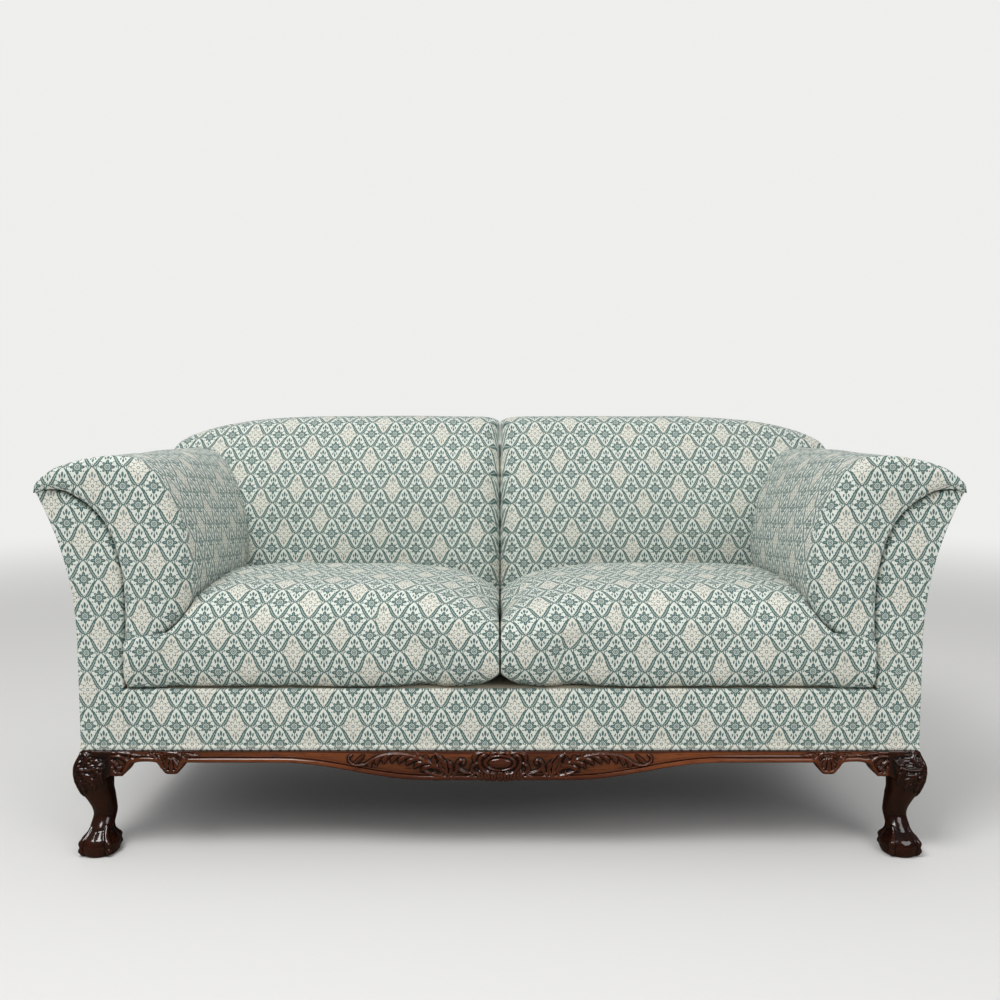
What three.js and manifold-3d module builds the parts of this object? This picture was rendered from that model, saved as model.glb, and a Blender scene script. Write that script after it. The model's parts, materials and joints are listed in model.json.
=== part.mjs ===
import * as THREE from "three";
import { mergeVertices } from "three/addons/utils/BufferGeometryUtils.js";
import Module from "manifold-3d";

// A two-seat upholstered sofa with flared, rolled-over arms, a back in two halves, two loose seat
// cushions, and a carved mahogany front rail on cabriole legs with claw-and-ball feet.
// Millimetres. +X is to the right seen from the front, +Y to the back, +Z up.
// The origin is on the floor under the middle of the sofa. Left and right are seen from the front.

const wasm = await Module();
wasm.setup();

// Overall sizes
const bodyWidth = 1632;
const overallDepth = 760;
const backHeight = 852;
const legHeight = 204;
const seatDepthShare = 0.5947;
const deckTop = 323;

// Clearances
const fitGap = 0.3;
const cutOverrun = 60;
const weldTolerance = 0.0001;

// Timber frame
const kneeProjection = 29.5;
const seatRailTop = 296;
const seatRailBottom = 214;
const seatRailThickness = 28;
const postWidth = 56;
const postDepth = 40;
const frameRearSetback = 28;
const backTopStuffing = 74;
const backLeanRise = 20;
const backRailHeight = 50;
const backStuffingRailHeight = 45;
const backStuffingRailRise = 49;
const centrePostWidth = 40;
const postShoulder = 12;
const rearFootDepth = 36;
const rearFootRake = 22;
const cornerBlockReach = 80;
const cornerBlockRise = 26;
const cornerBlockHeight = 50;

// Covers
const borderThickness = 14;
const coverThickness = 6;
const outsideBackThickness = 5;
const liningThickness = 3;
const gimpHeight = 10;
const gimpThickness = 1.6;
const bottomClothThickness = 1.4;

// Arms
const armTipShare = 0.8034;
const armFlare = 69;
const flareStartShare = 0.4;
const flarePower = 2.2;
const facingReach = 159;
const padTopHeight = 776;
const padReach = 292;
const padBottomHeight = 420;
const padFrontSwell = 8;
const padFrontRound = 26;
const padCentreAcross = 0.62;
const padCentreUp = 0.55;
const armPostDepth = 35;
const armTopRailWidth = 46;
const armTopRailHeight = 28;
const armTopRailDrop = 24;
const armStuffingRailWidth = 25;
const armStuffingRailHeight = 42;

// Back
const backLeanShare = 0.1605;
const backCurvePower = 2.6;
const backEndRound = 84;
const backEndRoundStart = 420;
const backEndInset = 4;
const backSeamPull = 46;
const backSeamWidth = 17;
const backSeamNotch = 15;
const backCrown = 14;
const backCrownStart = 0.3;
const lumbarPocketDepth = 84;
const lumbarPocketHeight = 150;
const lumbarHeight = 470;

// Seat cushions
const cushionCrownHeight = 514;
const cushionFrontSwell = 14;
const cushionSeamGap = 3;
const cushionEdgeHeight = 112;
const cushionShoulder = 250;
const cushionEndDraw = 20;
const cushionCornerLift = 14;
const cushionSeamShare = 0.44;
const cushionRingSides = 22;
const cushionEndShare = 0.0556;
const cushionLiftShare = 0.333;
const cushionCrownPower = 0.62;
const cushionLowPower = 0.42;
const cushionTopEdgePower = 0.4;
const cushionLowEdgePower = 0.24;

// Seat platform and border
const deckRoll = 16;
const borderSwell = 4;
const borderTopShare = 0.25;

// Springs and webbing
const wireDiameter = 3.6;
const springTurns = 3;
const springStepsPerTurn = 6;
const wireSides = 4;
const springEndRadius = 42;
const springWaistRadius = 28;
const lumbarSpringRadius = 46;
const seatSpringPitchX = 360;
const springRowShare = 0.3623;
const lumbarSpringPitch = 300;
const webWidth = 50;
const webThickness = 2.4;

// Front rail and legs
const railThickness = 38;
const railProjection = 6;
const railRebate = 10;
const kneeWidth = 77;
const kneeReach = 19;
const kneeForwardShare = 0.76;
const ballRadius = 36;
const ballHeight = 66;
const ballReach = 11;
const toeRadius = 8;
const toeTurnDegrees = [-35, -110, 140, 50];
const toeStart = 1.25;
const toeSweep = 2.15;
const ballFlat = 2;
const legSides = 16;
const kneeLeafLength = 34;
const kneeLeafWidth = 17;
const kneeLeafRelief = 5;
const kneeLeafSpread = 0.62;
const kneeLeafLevels = [9, 8, 7, 6];
const middleLeafShare = 0.5;
const sideLeafShare = 0.2;
const cornerSharpness = 4;
const bracketReach = 40;
const bracketDrop = 44;
const bracketThickness = 24;
const bracketSeat = 12;
const stumpSink = 20;
const beadRadius = 4.6;

// Lower edge of the front rail, from the middle outwards
const cartoucheHalf = 48;
const cartoucheDrop = 3;
const swellDrop = 58;
const swellEnd = 138;
const shallowDrop = 23;
const shallowStart = 430;
const shellAt = 638;
const shellHalf = 26;
const shellDrop = 22;
const archAt = 687;
const archHalf = 25;
const archLift = 2;
const earStart = 710;
const earRun = 26;
const earDrop = 27;

// Carving on the front rail
const cartoucheCentreDrop = 23.5;
const cartoucheBossWidth = 50;
const cartoucheBossHeight = 22;
const cartoucheFrameShare = 0.13;
const cartoucheFrameWidthShare = 0.94;
const cartoucheFrameHeightShare = 0.9;
const cartoucheFrameSink = 1.4;
const curlWidthShare = 0.7;
const curlHeightShare = 0.9;
const curlLengthShare = 1.5;
const curlReliefShare = 0.9;
const curlTurns = [0.6, 1.2, 1.9, 2.5, 3.8, 4.4, 5, 5.6];
const leafRelief = 5;
const leafLength = 34;
const leafWidth = 10;
const leafSpread = 0.75;
const sprayStart = 106;
const sprayLength = 200;
const sprayStemRadius = 4.5;
const stemTaperShare = 0.6;
const leafTaperShare = 0.45;
const shellSpread = 0.42;
const shellRibLength = 28;
const shellRibWidth = 9;
const earLobeInset = 8;

// Outlines as shares. A seam row is a share of the facing's reach inwards from the tip, and of
// the arm's rise.
const armFlareShares = [0.4, 0.5, 0.6, 0.7, 0.8, 0.9, 1];
const seamShares = [
  [0, 1], [0.13, 1.01], [0.34, 1], [0.52, 0.968], [0.67, 0.93], [0.81, 0.873],
  [0.92, 0.78], [0.99, 0.66], [1, 0.5], [0.97, 0.24], [0.97, 0],
];

// Rolled top and inner face of the arm pad: share of its reach inwards, and of its own height.
const crownShares = [
  [0, 0.814], [0.03, 0.868], [0.12, 0.925], [0.27, 0.97], [0.42, 0.995], [0.56, 1],
  [0.68, 0.976], [0.78, 0.907], [0.88, 0.764], [0.97, 0.55], [1, 0.357], [0.966, 0.185],
  [0.87, 0.073], [0.73, 0.009],
];

// Rounded front of the arm pad: share of its depth, and of the section's size.
const padFrontShares = [[0, 0.88], [0.12, 0.93], [0.45, 0.975], [1, 1]];

// Section of the back: heights up its face, then rise and depth over its top.
const backFaceShares = [0, 0.15, 0.28, 0.4, 0.52, 0.64, 0.75, 0.84, 0.91, 0.96];
const backTopShares = [[0.988, 0.47], [1, 0.64], [0.995, 0.8], [0.97, 0.93], [0.92, 1], [0, 1]];

// Each section of the cabriole leg has a rise, a reach outwards along the diagonal, a size and a squareness.
const legSectionShares = [
  [0.15, 0.5, 0.5, 0], [0.245, 0.15, 0.6, 0], [0.32, 0, 0.585, 0], [0.417, 0.12, 0.62, 0.05],
  [0.5, 0.39, 0.71, 0.1], [0.598, 0.75, 0.864, 0.2], [0.716, 1, 0.987, 0.4], [0.82, 1, 1, 0.55],
  [0.897, 0.68, 0.93, 0.75], [1, 0.2, 0.81, 1],
];
const blockReachShare = legSectionShares[legSectionShares.length - 1][1];

// Outline of the bracket behind the leg: share of its reach back, and of its drop.
const bracketShares = [[0, 0], [1, 0], [0.95, 0.2], [0.6, 0.36], [0.35, 0.8], [0.1, 1], [0, 1]];

// Size of a toe at its knuckles, from the ankle to the claw.
const toeShares = [0.75, 1, 0.82, 1.05, 0.85, 0.95, 0.5];

// Stem of the leaf spray, and the lobes on it: side, first place, run and how many.
const spineShares = [
  [0, 0.79], [0.25, 0.41], [0.44, 0.155], [0.6, 0.12], [0.74, 0.22], [0.86, 0.45], [0.93, 0.41], [1, 0.16],
];
const sprayLobeShares = [[-1, 0.1, 0.64, 6], [1, 0.04, 0.36, 4]];

// Places worked out from the sizes
const bodyHalf = bodyWidth / 2;
const frontPlane = -overallDepth / 2 + kneeProjection;
const borderBack = frontPlane + borderThickness;
const frameFront = borderBack + fitGap;
const seatDepth = seatDepthShare * overallDepth;
const backFront = frontPlane + seatDepth;
const backLean = backLeanShare * overallDepth;
const backFrameTop = backHeight - backTopStuffing;
const armTipHeight = padBottomHeight + armTipShare * (padTopHeight - padBottomHeight);
const frameRear = overallDepth / 2 - frameRearSetback;
const postFront = frameRear - postDepth;
const tipX = bodyHalf + armFlare;
const armRise = armTipHeight - legHeight;
const padRise = padTopHeight - padBottomHeight;
const backBase = deckTop + fitGap;
const frameOuter = bodyHalf - coverThickness - fitGap;
const postInner = frameOuter - postWidth;
const leanSlope = backLeanRise / (backFrameTop - seatRailTop);
const webTop = seatRailBottom - fitGap;
const webBottom = webTop - webThickness;
const deckBottom = seatRailTop + fitGap;
const coverBottom = legHeight + fitGap;
const railFace = frontPlane - railProjection;
const railBack = railFace + railThickness;
const railTongueBack = railBack + railRebate;
const railHalf = postInner - fitGap;
const legBlockWidth = bodyHalf - postInner;
const springPitchY = springRowShare * (postFront - railTongueBack);
const backEndX = bodyHalf - backEndInset;
const ankleX = bodyHalf - legBlockWidth / 2 - blockReachShare * kneeReach;
const ankleY = railFace + legBlockWidth / 2 + blockReachShare * kneeForwardShare * kneeReach;
const seamFootX = tipX - seamShares[seamShares.length - 1][0] * facingReach;

const cloth = { color: 0xa3b2a4, roughness: 0.86, metalness: 0 };
const mahogany = { color: 0x4a1c10, roughness: 0.32, metalness: 0 };
const beech = { color: 0xb98f62, roughness: 0.7, metalness: 0 };
const stainedBeech = { color: 0x3a2014, roughness: 0.5, metalness: 0 };
const jute = { color: 0x9c8258, roughness: 0.95, metalness: 0 };
const steel = { color: 0x6f7276, roughness: 0.42, metalness: 0.9 };
const calico = { color: 0xd9cfb8, roughness: 0.92, metalness: 0 };
const blackCloth = { color: 0x1c1b1a, roughness: 0.95, metalness: 0 };

const sofa = new THREE.Group();

// Welded, bare copy of a closed geometry, with its faces turned outwards.
function closed(geometry) {
  const bare = geometry.clone();
  bare.deleteAttribute("normal");
  bare.deleteAttribute("uv");
  const welded = mergeVertices(bare, weldTolerance);
  if (enclosedVolume(welded) < 0) {
    const index = welded.index.array;
    for (let k = 0; k < index.length; k += 3) {
      [index[k], index[k + 1]] = [index[k + 1], index[k]];
    }
  }
  return welded;
}

function enclosedVolume(geometry) {
  const places = geometry.attributes.position;
  const index = geometry.index.array;
  const a = new THREE.Vector3();
  const b = new THREE.Vector3();
  const c = new THREE.Vector3();
  let total = 0;
  for (let k = 0; k < index.length; k += 3) {
    a.fromBufferAttribute(places, index[k]);
    b.fromBufferAttribute(places, index[k + 1]);
    c.fromBufferAttribute(places, index[k + 2]);
    total += a.dot(b.cross(c)) / 6;
  }
  return total;
}

function solidOf(geometry) {
  const welded = closed(geometry);
  return new wasm.Manifold(new wasm.Mesh({
    numProp: 3,
    vertProperties: new Float32Array(welded.attributes.position.array),
    triVerts: new Uint32Array(welded.index.array),
  }));
}

function geometryOf(solid) {
  const mesh = solid.getMesh();
  const geometry = new THREE.BufferGeometry();
  geometry.setAttribute("position", new THREE.BufferAttribute(new Float32Array(mesh.vertProperties), 3));
  geometry.setIndex(new THREE.BufferAttribute(new Uint32Array(mesh.triVerts), 1));
  return geometry;
}

function joined(geometries) {
  return geometryOf(geometries.map(solidOf).reduce((whole, piece) => whole.add(piece)));
}

function cutAway(geometry, cutters) {
  const solid = solidOf(geometry);
  return geometryOf(cutters.map(solidOf).reduce((whole, cutter) => whole.subtract(cutter), solid));
}

function mirrored(geometry) {
  const copy = geometry.clone();
  copy.scale(-1, 1, 1);
  return closed(copy);
}

function block(x0, x1, y0, y1, z0, z1) {
  const box = new THREE.BoxGeometry(x1 - x0, y1 - y0, z1 - z0);
  box.translate((x0 + x1) / 2, (y0 + y1) / 2, (z0 + z1) / 2);
  return closed(box);
}

// Extrudes an outline of (x, z) points from y0 to y1.
function frontPlate(points, y0, y1) {
  const plate = new THREE.ExtrudeGeometry(new THREE.Shape(points), { depth: y1 - y0, bevelEnabled: false });
  plate.rotateX(Math.PI / 2);
  plate.translate(0, y1, 0);
  return closed(plate);
}

// Extrudes an outline of (y, z) points from x0 to x1.
function sidePlate(points, x0, x1) {
  const plate = new THREE.ExtrudeGeometry(new THREE.Shape(points), { depth: x1 - x0, bevelEnabled: false });
  const turn = new THREE.Matrix4().makeBasis(
    new THREE.Vector3(0, 1, 0),
    new THREE.Vector3(0, 0, 1),
    new THREE.Vector3(1, 0, 0),
  );
  plate.applyMatrix4(turn);
  plate.translate(x0, 0, 0);
  return closed(plate);
}

// Extrudes an outline of (x, y) points from z0 to z1.
function floorPlate(points, z0, z1) {
  const plate = new THREE.ExtrudeGeometry(new THREE.Shape(points), { depth: z1 - z0, bevelEnabled: false });
  plate.translate(0, 0, z0);
  return closed(plate);
}

// Skins a run of rings that have equally many points, and closes both ends.
function loft(rings) {
  const size = rings[0].length;
  const last = (rings.length - 1) * size;
  const faces = [];
  for (let r = 0; r + 1 < rings.length; r += 1) {
    for (let k = 0; k < size; k += 1) {
      const a = r * size + k;
      const b = r * size + (k + 1) % size;
      faces.push(a, b, a + size, b, b + size, a + size);
    }
  }
  for (const [a, b, c] of capFaces(rings[0])) {
    faces.push(a, c, b);
  }
  for (const [a, b, c] of capFaces(rings[rings.length - 1])) {
    faces.push(last + a, last + b, last + c);
  }
  const geometry = new THREE.BufferGeometry().setFromPoints(rings.flat());
  geometry.setIndex(faces);
  return closed(geometry);
}

// Triangles over a flat ring, wound the way that the ring runs.
function capFaces(ring) {
  const normal = new THREE.Vector3();
  ring.forEach((place, k) => normal.add(place.clone().cross(ring[(k + 1) % ring.length])));
  const [x, y, z] = normal.toArray().map(Math.abs);
  let flat = ring.map((place) => new THREE.Vector2(place.x, place.y));
  let turned = normal.z < 0;
  if (x >= y && x >= z) {
    flat = ring.map((place) => new THREE.Vector2(place.y, place.z));
    turned = normal.x < 0;
  } else if (y >= z) {
    flat = ring.map((place) => new THREE.Vector2(place.z, place.x));
    turned = normal.y < 0;
  }
  const triangles = THREE.ShapeUtils.triangulateShape(turned ? flat.slice().reverse() : flat, []);
  const top = ring.length - 1;
  return triangles.map(([a, b, c]) => (turned ? [top - a, top - c, top - b] : [a, b, c]));
}

function addPiece(name, geometry, look) {
  const mesh = new THREE.Mesh(closed(geometry), new THREE.MeshStandardMaterial(look));
  mesh.name = name;
  sofa.add(mesh);
}

function addPair(name, rightGeometry, look) {
  addPiece(`${name}_left`, mirrored(rightGeometry), look);
  addPiece(`${name}_right`, rightGeometry, look);
}

// Leans what is above the seat rails backwards, as the back frame leans.
function leaned(geometry) {
  const copy = geometry.clone();
  const places = copy.attributes.position;
  for (let k = 0; k < places.count; k += 1) {
    places.setY(k, places.getY(k) + backShift(places.getZ(k)));
  }
  return copy;
}

function backShift(z) {
  return leanSlope * Math.max(0, z - seatRailTop);
}

// Arm section. The outer face is upright, then flares out to the tip.
function armOuterX(z) {
  const rise = (z - legHeight) / armRise;
  const flaring = Math.max(0, (rise - flareStartShare) / (1 - flareStartShare));
  return bodyHalf + armFlare * flaring ** flarePower;
}

// Outer face from the bottom up to the tip, moved in by a wall.
function armOuterLine(bottom, inset) {
  const heights = [bottom, ...armFlareShares.map((share) => legHeight + share * armRise)];
  return heights.map((z) => new THREE.Vector2(armOuterX(z) - inset, z));
}

// Seam between the facing and the pad, from the tip inwards and down to the bottom.
function seamLine(shift) {
  const places = seamShares.map(([inwards, rise]) => new THREE.Vector2(
    tipX - inwards * facingReach - shift,
    legHeight + rise * armRise + shift,
  ));
  return new THREE.SplineCurve(places).getPoints(20);
}

function seamX(z) {
  const line = seamLine(0);
  const below = line.findIndex((place) => place.y < z);
  const share = (line[below - 1].y - z) / (line[below - 1].y - line[below].y);
  return line[below - 1].x + share * (line[below].x - line[below - 1].x);
}

// Pad section: up the seam to the tip, over the rolled top, down the inner face and under.
function padSection() {
  const crown = new THREE.SplineCurve(crownShares.map(([inwards, rise]) => new THREE.Vector2(
    tipX - inwards * padReach,
    padBottomHeight + rise * padRise,
  ))).getPoints(20);
  const seam = seamLine(fitGap).filter((place) => place.y > padBottomHeight).reverse();
  const foot = new THREE.Vector2(seamX(padBottomHeight) - fitGap, padBottomHeight);
  return [foot, ...seam.slice(0, -1), ...crown];
}

// Region outboard of the seam, which the arm frame fills.
function armCore(y0, y1) {
  const seam = seamLine(2 * fitGap);
  const outer = tipX + cutOverrun;
  const points = [
    ...seam,
    new THREE.Vector2(seam[seam.length - 1].x, 0),
    new THREE.Vector2(outer, 0),
    new THREE.Vector2(outer, armTipHeight),
  ];
  return frontPlate(points, y0, y1);
}

// Front face of the back at a height, leaning more the higher it goes.
function backFaceY(z) {
  const rise = Math.max(0, (z - backBase) / (backHeight - backBase));
  return backFront + backLean * rise ** backCurvePower;
}

// Everything behind the front face of the back, with a gap to it, out to the end of the back.
function behindBackFace() {
  const steps = 24;
  const gap = 2 * fitGap;
  const points = [new THREE.Vector2(backFront - gap, 0)];
  for (let k = 0; k <= steps; k += 1) {
    const z = backBase + (k / steps) * (backHeight - backBase);
    points.push(new THREE.Vector2(backFaceY(z) - gap, z));
  }
  points.push(new THREE.Vector2(overallDepth, backHeight));
  points.push(new THREE.Vector2(overallDepth, 0));
  return sidePlate(points, 0, backEndX + gap);
}

// Everything behind the rear face of the frame.
function behindFrame() {
  const points = [
    new THREE.Vector2(frameRear, 0),
    new THREE.Vector2(frameRear, seatRailTop),
    new THREE.Vector2(frameRear + backShift(backHeight), backHeight),
    new THREE.Vector2(overallDepth, backHeight),
    new THREE.Vector2(overallDepth, 0),
  ];
  return sidePlate(points, 0, tipX + cutOverrun);
}

function armPad() {
  const section = padSection();
  const centreX = tipX - padCentreAcross * padReach;
  const centreZ = padBottomHeight + padCentreUp * padRise;
  const front = frontPlane - padFrontSwell;
  const rings = padFrontShares.map(([depthShare, sizeShare]) => section.map((place) => new THREE.Vector3(
    centreX + sizeShare * (place.x - centreX),
    front + depthShare * padFrontRound,
    centreZ + sizeShare * (place.y - centreZ),
  )));
  rings.push(section.map((place) => new THREE.Vector3(place.x, overallDepth / 2, place.y)));
  return cutAway(loft(rings), [behindBackFace(), behindFrame(), armCore(frontPlane - fitGap, overallDepth)]);
}

function armFacing() {
  const points = [...armOuterLine(coverBottom, 0), ...seamLine(0).slice(1, -1)];
  points.push(new THREE.Vector2(seamFootX, coverBottom));
  return frontPlate(points, frontPlane, borderBack);
}

function outsideArm() {
  const outer = armOuterLine(coverBottom, 0);
  const inner = armOuterLine(coverBottom, coverThickness).reverse();
  const panel = frontPlate([...outer, ...inner], frameFront, overallDepth / 2);
  return cutAway(panel, [behindFrame()]);
}

function armLining() {
  const outer = seamX(padBottomHeight) - fitGap;
  const strip = block(
    outer - liningThickness, outer, frameFront, overallDepth / 2, deckTop + fitGap, padBottomHeight - fitGap,
  );
  return cutAway(strip, [behindBackFace()]);
}

// Bandsawn upright that gives the arm its flare.
function armPost(front) {
  const bottom = seatRailTop + fitGap;
  const outer = armOuterLine(bottom, coverThickness + fitGap).slice(0, -1);
  const tip = outer[outer.length - 1];
  const inner = seamLine(-2 * fitGap).filter((place) => place.y > bottom && place.x < tip.x);
  const foot = new THREE.Vector2(seamX(bottom) + 2 * fitGap, bottom);
  return frontPlate([...outer, ...inner, foot], front, front + armPostDepth);
}

function armTopRail(front, rear) {
  const top = armTipHeight - armTopRailDrop;
  const outer = armOuterX(top - armTopRailHeight) - coverThickness - fitGap;
  return block(outer - armTopRailWidth, outer, front, rear, top - armTopRailHeight, top);
}

function armStuffingRail(front, rear) {
  const inner = seamX(padBottomHeight) + 2 * fitGap;
  const top = padBottomHeight + armStuffingRailHeight;
  return block(inner, inner + armStuffingRailWidth, front, rear, padBottomHeight, top);
}

function addArms() {
  const rearPostFront = postFront - fitGap - armPostDepth;
  const railFront = frameFront + armPostDepth + fitGap;
  const railRear = rearPostFront - fitGap;
  addPair("arm_pad", armPad(), cloth);
  addPair("arm_facing", armFacing(), cloth);
  addPair("outside_arm", outsideArm(), cloth);
  addPair("arm_lining", armLining(), calico);
  addPair("arm_post_front", armPost(frameFront), beech);
  addPair("arm_post_rear", armPost(rearPostFront), beech);
  addPair("arm_top_rail", armTopRail(railFront, railRear), beech);
  addPair("arm_stuffing_rail", armStuffingRail(railFront, railRear), beech);
}

// Height of the back's top edge, rounded off at the end and notched at the middle seam.
function backTopZ(x, endX) {
  const t = Math.min(1, Math.max(0, (x - backEndRoundStart) / (endX - backEndRoundStart)));
  const endDrop = backEndRound * (1 - Math.sqrt(1 - t * t));
  return backHeight - endDrop - backSeamNotch * Math.exp(-x / backSeamWidth);
}

function backRing(x, endX) {
  const top = backTopZ(x, endX);
  const rear = overallDepth / 2;
  const middle = 0.5 * (tipX - padReach);
  const acrossShare = Math.max(0, 1 - ((x - middle) / middle) ** 2);
  const pull = backSeamPull * Math.exp(-x / backSeamWidth);
  const ring = backFaceShares.map((share) => {
    const z = backBase + share * (top - backBase);
    const upShare = Math.sin(Math.PI * Math.max(0, (share - backCrownStart) / (1 - backCrownStart)));
    return new THREE.Vector3(x, backFaceY(z) + pull - backCrown * acrossShare * upShare, z);
  });
  for (const [rise, depth] of backTopShares) {
    const y = backFront + depth * (rear - backFront);
    ring.push(new THREE.Vector3(x, y, backBase + rise * (top - backBase)));
  }
  return ring;
}

function backPad() {
  const endX = backEndX;
  const armShare = (tipX - padReach) / endX;
  const stationShares = [
    0.014, 0.04, 0.086, 0.18, 0.34, 0.52, 0.64, armShare, 0.8, 0.86, 0.91, 0.95, 0.98, 0.994, 1,
  ];
  const rings = [backRing(fitGap, endX), ...stationShares.map((share) => backRing(share * endX, endX))];
  const pocketFront = postFront - webThickness - 2 * fitGap;
  const frameEdge = frameOuter - postShoulder + fitGap;
  const pocket = block(
    -cutOverrun, frameEdge, pocketFront, overallDepth, seatRailTop, backFrameTop + fitGap,
  );
  const lumbarHalf = 0.5 * lumbarSpringPitch + lumbarSpringRadius + 0.5 * webWidth;
  const lumbar = block(
    lumbarSpringPitch - lumbarHalf, lumbarSpringPitch + lumbarHalf,
    pocketFront - lumbarPocketDepth, overallDepth,
    lumbarHeight - lumbarPocketHeight / 2, lumbarHeight + lumbarPocketHeight / 2,
  );
  return cutAway(loft(rings), [leaned(pocket), leaned(lumbar), armCore(0, overallDepth)]);
}

function outsideBack() {
  const shoulderX = frameOuter - postShoulder;
  const seam = seamLine(-fitGap).slice(1);
  const turned = seam.findIndex((place) => place.x < shoulderX);
  const side = [
    ...armOuterLine(coverBottom, 0),
    ...seam.slice(0, turned),
    new THREE.Vector2(shoulderX, seam[turned].y),
    new THREE.Vector2(shoulderX, backFrameTop),
  ];
  const kneeX = armOuterX(seatRailTop);
  side.splice(1, 0, new THREE.Vector2(kneeX, seatRailTop));
  const otherSide = side.map((place) => new THREE.Vector2(-place.x, place.y)).reverse();
  const front = frameRear + fitGap;
  return leaned(frontPlate([...side, ...otherSide], front, front + outsideBackThickness));
}

// Rear leg and back upright in one piece: raked foot, straight at the seat, leaning above it.
function rearLeg() {
  const topShift = backShift(backFrameTop);
  const outline = [
    new THREE.Vector2(frameRear + rearFootRake - rearFootDepth, 0),
    new THREE.Vector2(frameRear + rearFootRake, 0),
    new THREE.Vector2(frameRear, legHeight),
    new THREE.Vector2(frameRear, seatRailTop),
    new THREE.Vector2(frameRear + topShift, backFrameTop),
    new THREE.Vector2(postFront + topShift, backFrameTop),
    new THREE.Vector2(postFront, seatRailTop),
    new THREE.Vector2(postFront, legHeight),
  ];
  const shoulder = block(
    frameOuter - postShoulder, frameOuter + cutOverrun, 0, overallDepth,
    armTipHeight - cutOverrun, backFrameTop + cutOverrun,
  );
  return cutAway(sidePlate(outline, postInner, frameOuter), [shoulder]);
}

function backFramePiece(x0, x1, z0, z1) {
  return leaned(block(x0, x1, postFront, frameRear, z0, z1));
}

// Flat strips, fused where they cross, on the front of the back frame.
function backWebbing() {
  const rear = postFront - fitGap;
  const front = rear - webThickness;
  const bottom = seatRailTop + backStuffingRailRise;
  const top = backFrameTop - backRailHeight / 2;
  const half = postInner + postWidth / 2;
  const uprights = [-3, -2, -1, 0, 1, 2, 3].map((k) => {
    const x = k * lumbarSpringPitch / 2;
    return block(x - webWidth / 2, x + webWidth / 2, front, rear, bottom, top);
  });
  const crossings = [lumbarHeight, (lumbarHeight + backFrameTop) / 2].map(
    (z) => block(-half, half, front, rear, z - webWidth / 2, z + webWidth / 2),
  );
  return leaned(joined([...uprights, ...crossings]));
}

function addBack() {
  const railBottom = backFrameTop - backRailHeight;
  const stuffingBottom = seatRailTop + backStuffingRailRise;
  const stuffingTop = stuffingBottom + backStuffingRailHeight;
  const inner = postInner - fitGap;
  const half = centrePostWidth / 2;
  addPair("back_pad", backPad(), cloth);
  addPiece("outside_back", outsideBack(), cloth);
  addPair("rear_leg", rearLeg(), stainedBeech);
  addPiece("back_top_rail", backFramePiece(-inner, inner, railBottom, backFrameTop), beech);
  addPiece("back_stuffing_rail", backFramePiece(-inner, inner, stuffingBottom, stuffingTop), beech);
  addPiece("back_centre_post", backFramePiece(-half, half, stuffingTop + fitGap, railBottom - fitGap), beech);
  addPiece("back_webbing", backWebbing(), jute);
}

// Tube through places, with a radius at each. The upward vector is never along the tube.
function tube(places, radii, sides, upward) {
  const rings = places.map((place, k) => {
    const before = places[Math.max(0, k - 1)];
    const after = places[Math.min(places.length - 1, k + 1)];
    const along = after.clone().sub(before).normalize();
    const side = along.clone().cross(upward).normalize();
    const up = side.clone().cross(along);
    return Array.from({ length: sides }, (_, s) => {
      const turn = (2 * Math.PI * s) / sides;
      return place.clone()
        .addScaledVector(side, radii[k] * Math.cos(turn))
        .addScaledVector(up, radii[k] * Math.sin(turn));
    });
  });
  return loft(rings);
}

// Hourglass upholstery spring standing on z = 0.
function coilSpring(height, endRadius) {
  const steps = springTurns * springStepsPerTurn;
  const wire = wireDiameter / 2;
  const places = [];
  for (let k = 0; k <= steps; k += 1) {
    const share = k / steps;
    const turn = 2 * Math.PI * springTurns * share;
    const radius = endRadius - (endRadius - springWaistRadius) * Math.sin(Math.PI * share);
    const z = wire + share * (height - 2 * wire);
    places.push(new THREE.Vector3(radius * Math.cos(turn), radius * Math.sin(turn), z));
  }
  return tube(places, places.map(() => wire), wireSides, new THREE.Vector3(0, 0, 1));
}

const springRows = [-1, 0, 1];
const springColumns = [-1.5, -0.5, 0.5, 1.5];

function addSprings() {
  const seatSpring = coilSpring(deckBottom - webTop - 2 * fitGap, springEndRadius);
  let count = 0;
  for (const row of springRows) {
    for (const column of springColumns) {
      const spring = seatSpring.clone();
      spring.translate(column * seatSpringPitchX, row * springPitchY, webTop + fitGap);
      count += 1;
      addPiece(`seat_spring_${count}`, spring, steel);
    }
  }
  const lumbarSpring = coilSpring(lumbarPocketDepth - 2 * fitGap, lumbarSpringRadius);
  lumbarSpring.rotateX(Math.PI / 2);
  springColumns.forEach((column, k) => {
    const spring = lumbarSpring.clone();
    spring.translate(column * lumbarSpringPitch, postFront - webThickness - 2 * fitGap, lumbarHeight);
    addPiece(`lumbar_spring_${k + 1}`, leaned(spring), steel);
  });
}

// Webbing under the seat rails, fused where the strips cross, with a strip under each spring row.
function seatWebbing() {
  const half = frameOuter - seatRailThickness / 2;
  const front = railBack + fitGap;
  const acrossRows = springRows.map((row) => {
    const y = row * springPitchY;
    return block(-half, half, y - webWidth / 2, y + webWidth / 2, webBottom, webTop);
  });
  const alongColumns = [-1.5, -1, -0.5, 0, 0.5, 1, 1.5].map((column) => {
    const x = column * seatSpringPitchX;
    return block(x - webWidth / 2, x + webWidth / 2, front, frameRear - postDepth / 2, webBottom, webTop);
  });
  return joined([...acrossRows, ...alongColumns]);
}

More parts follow.
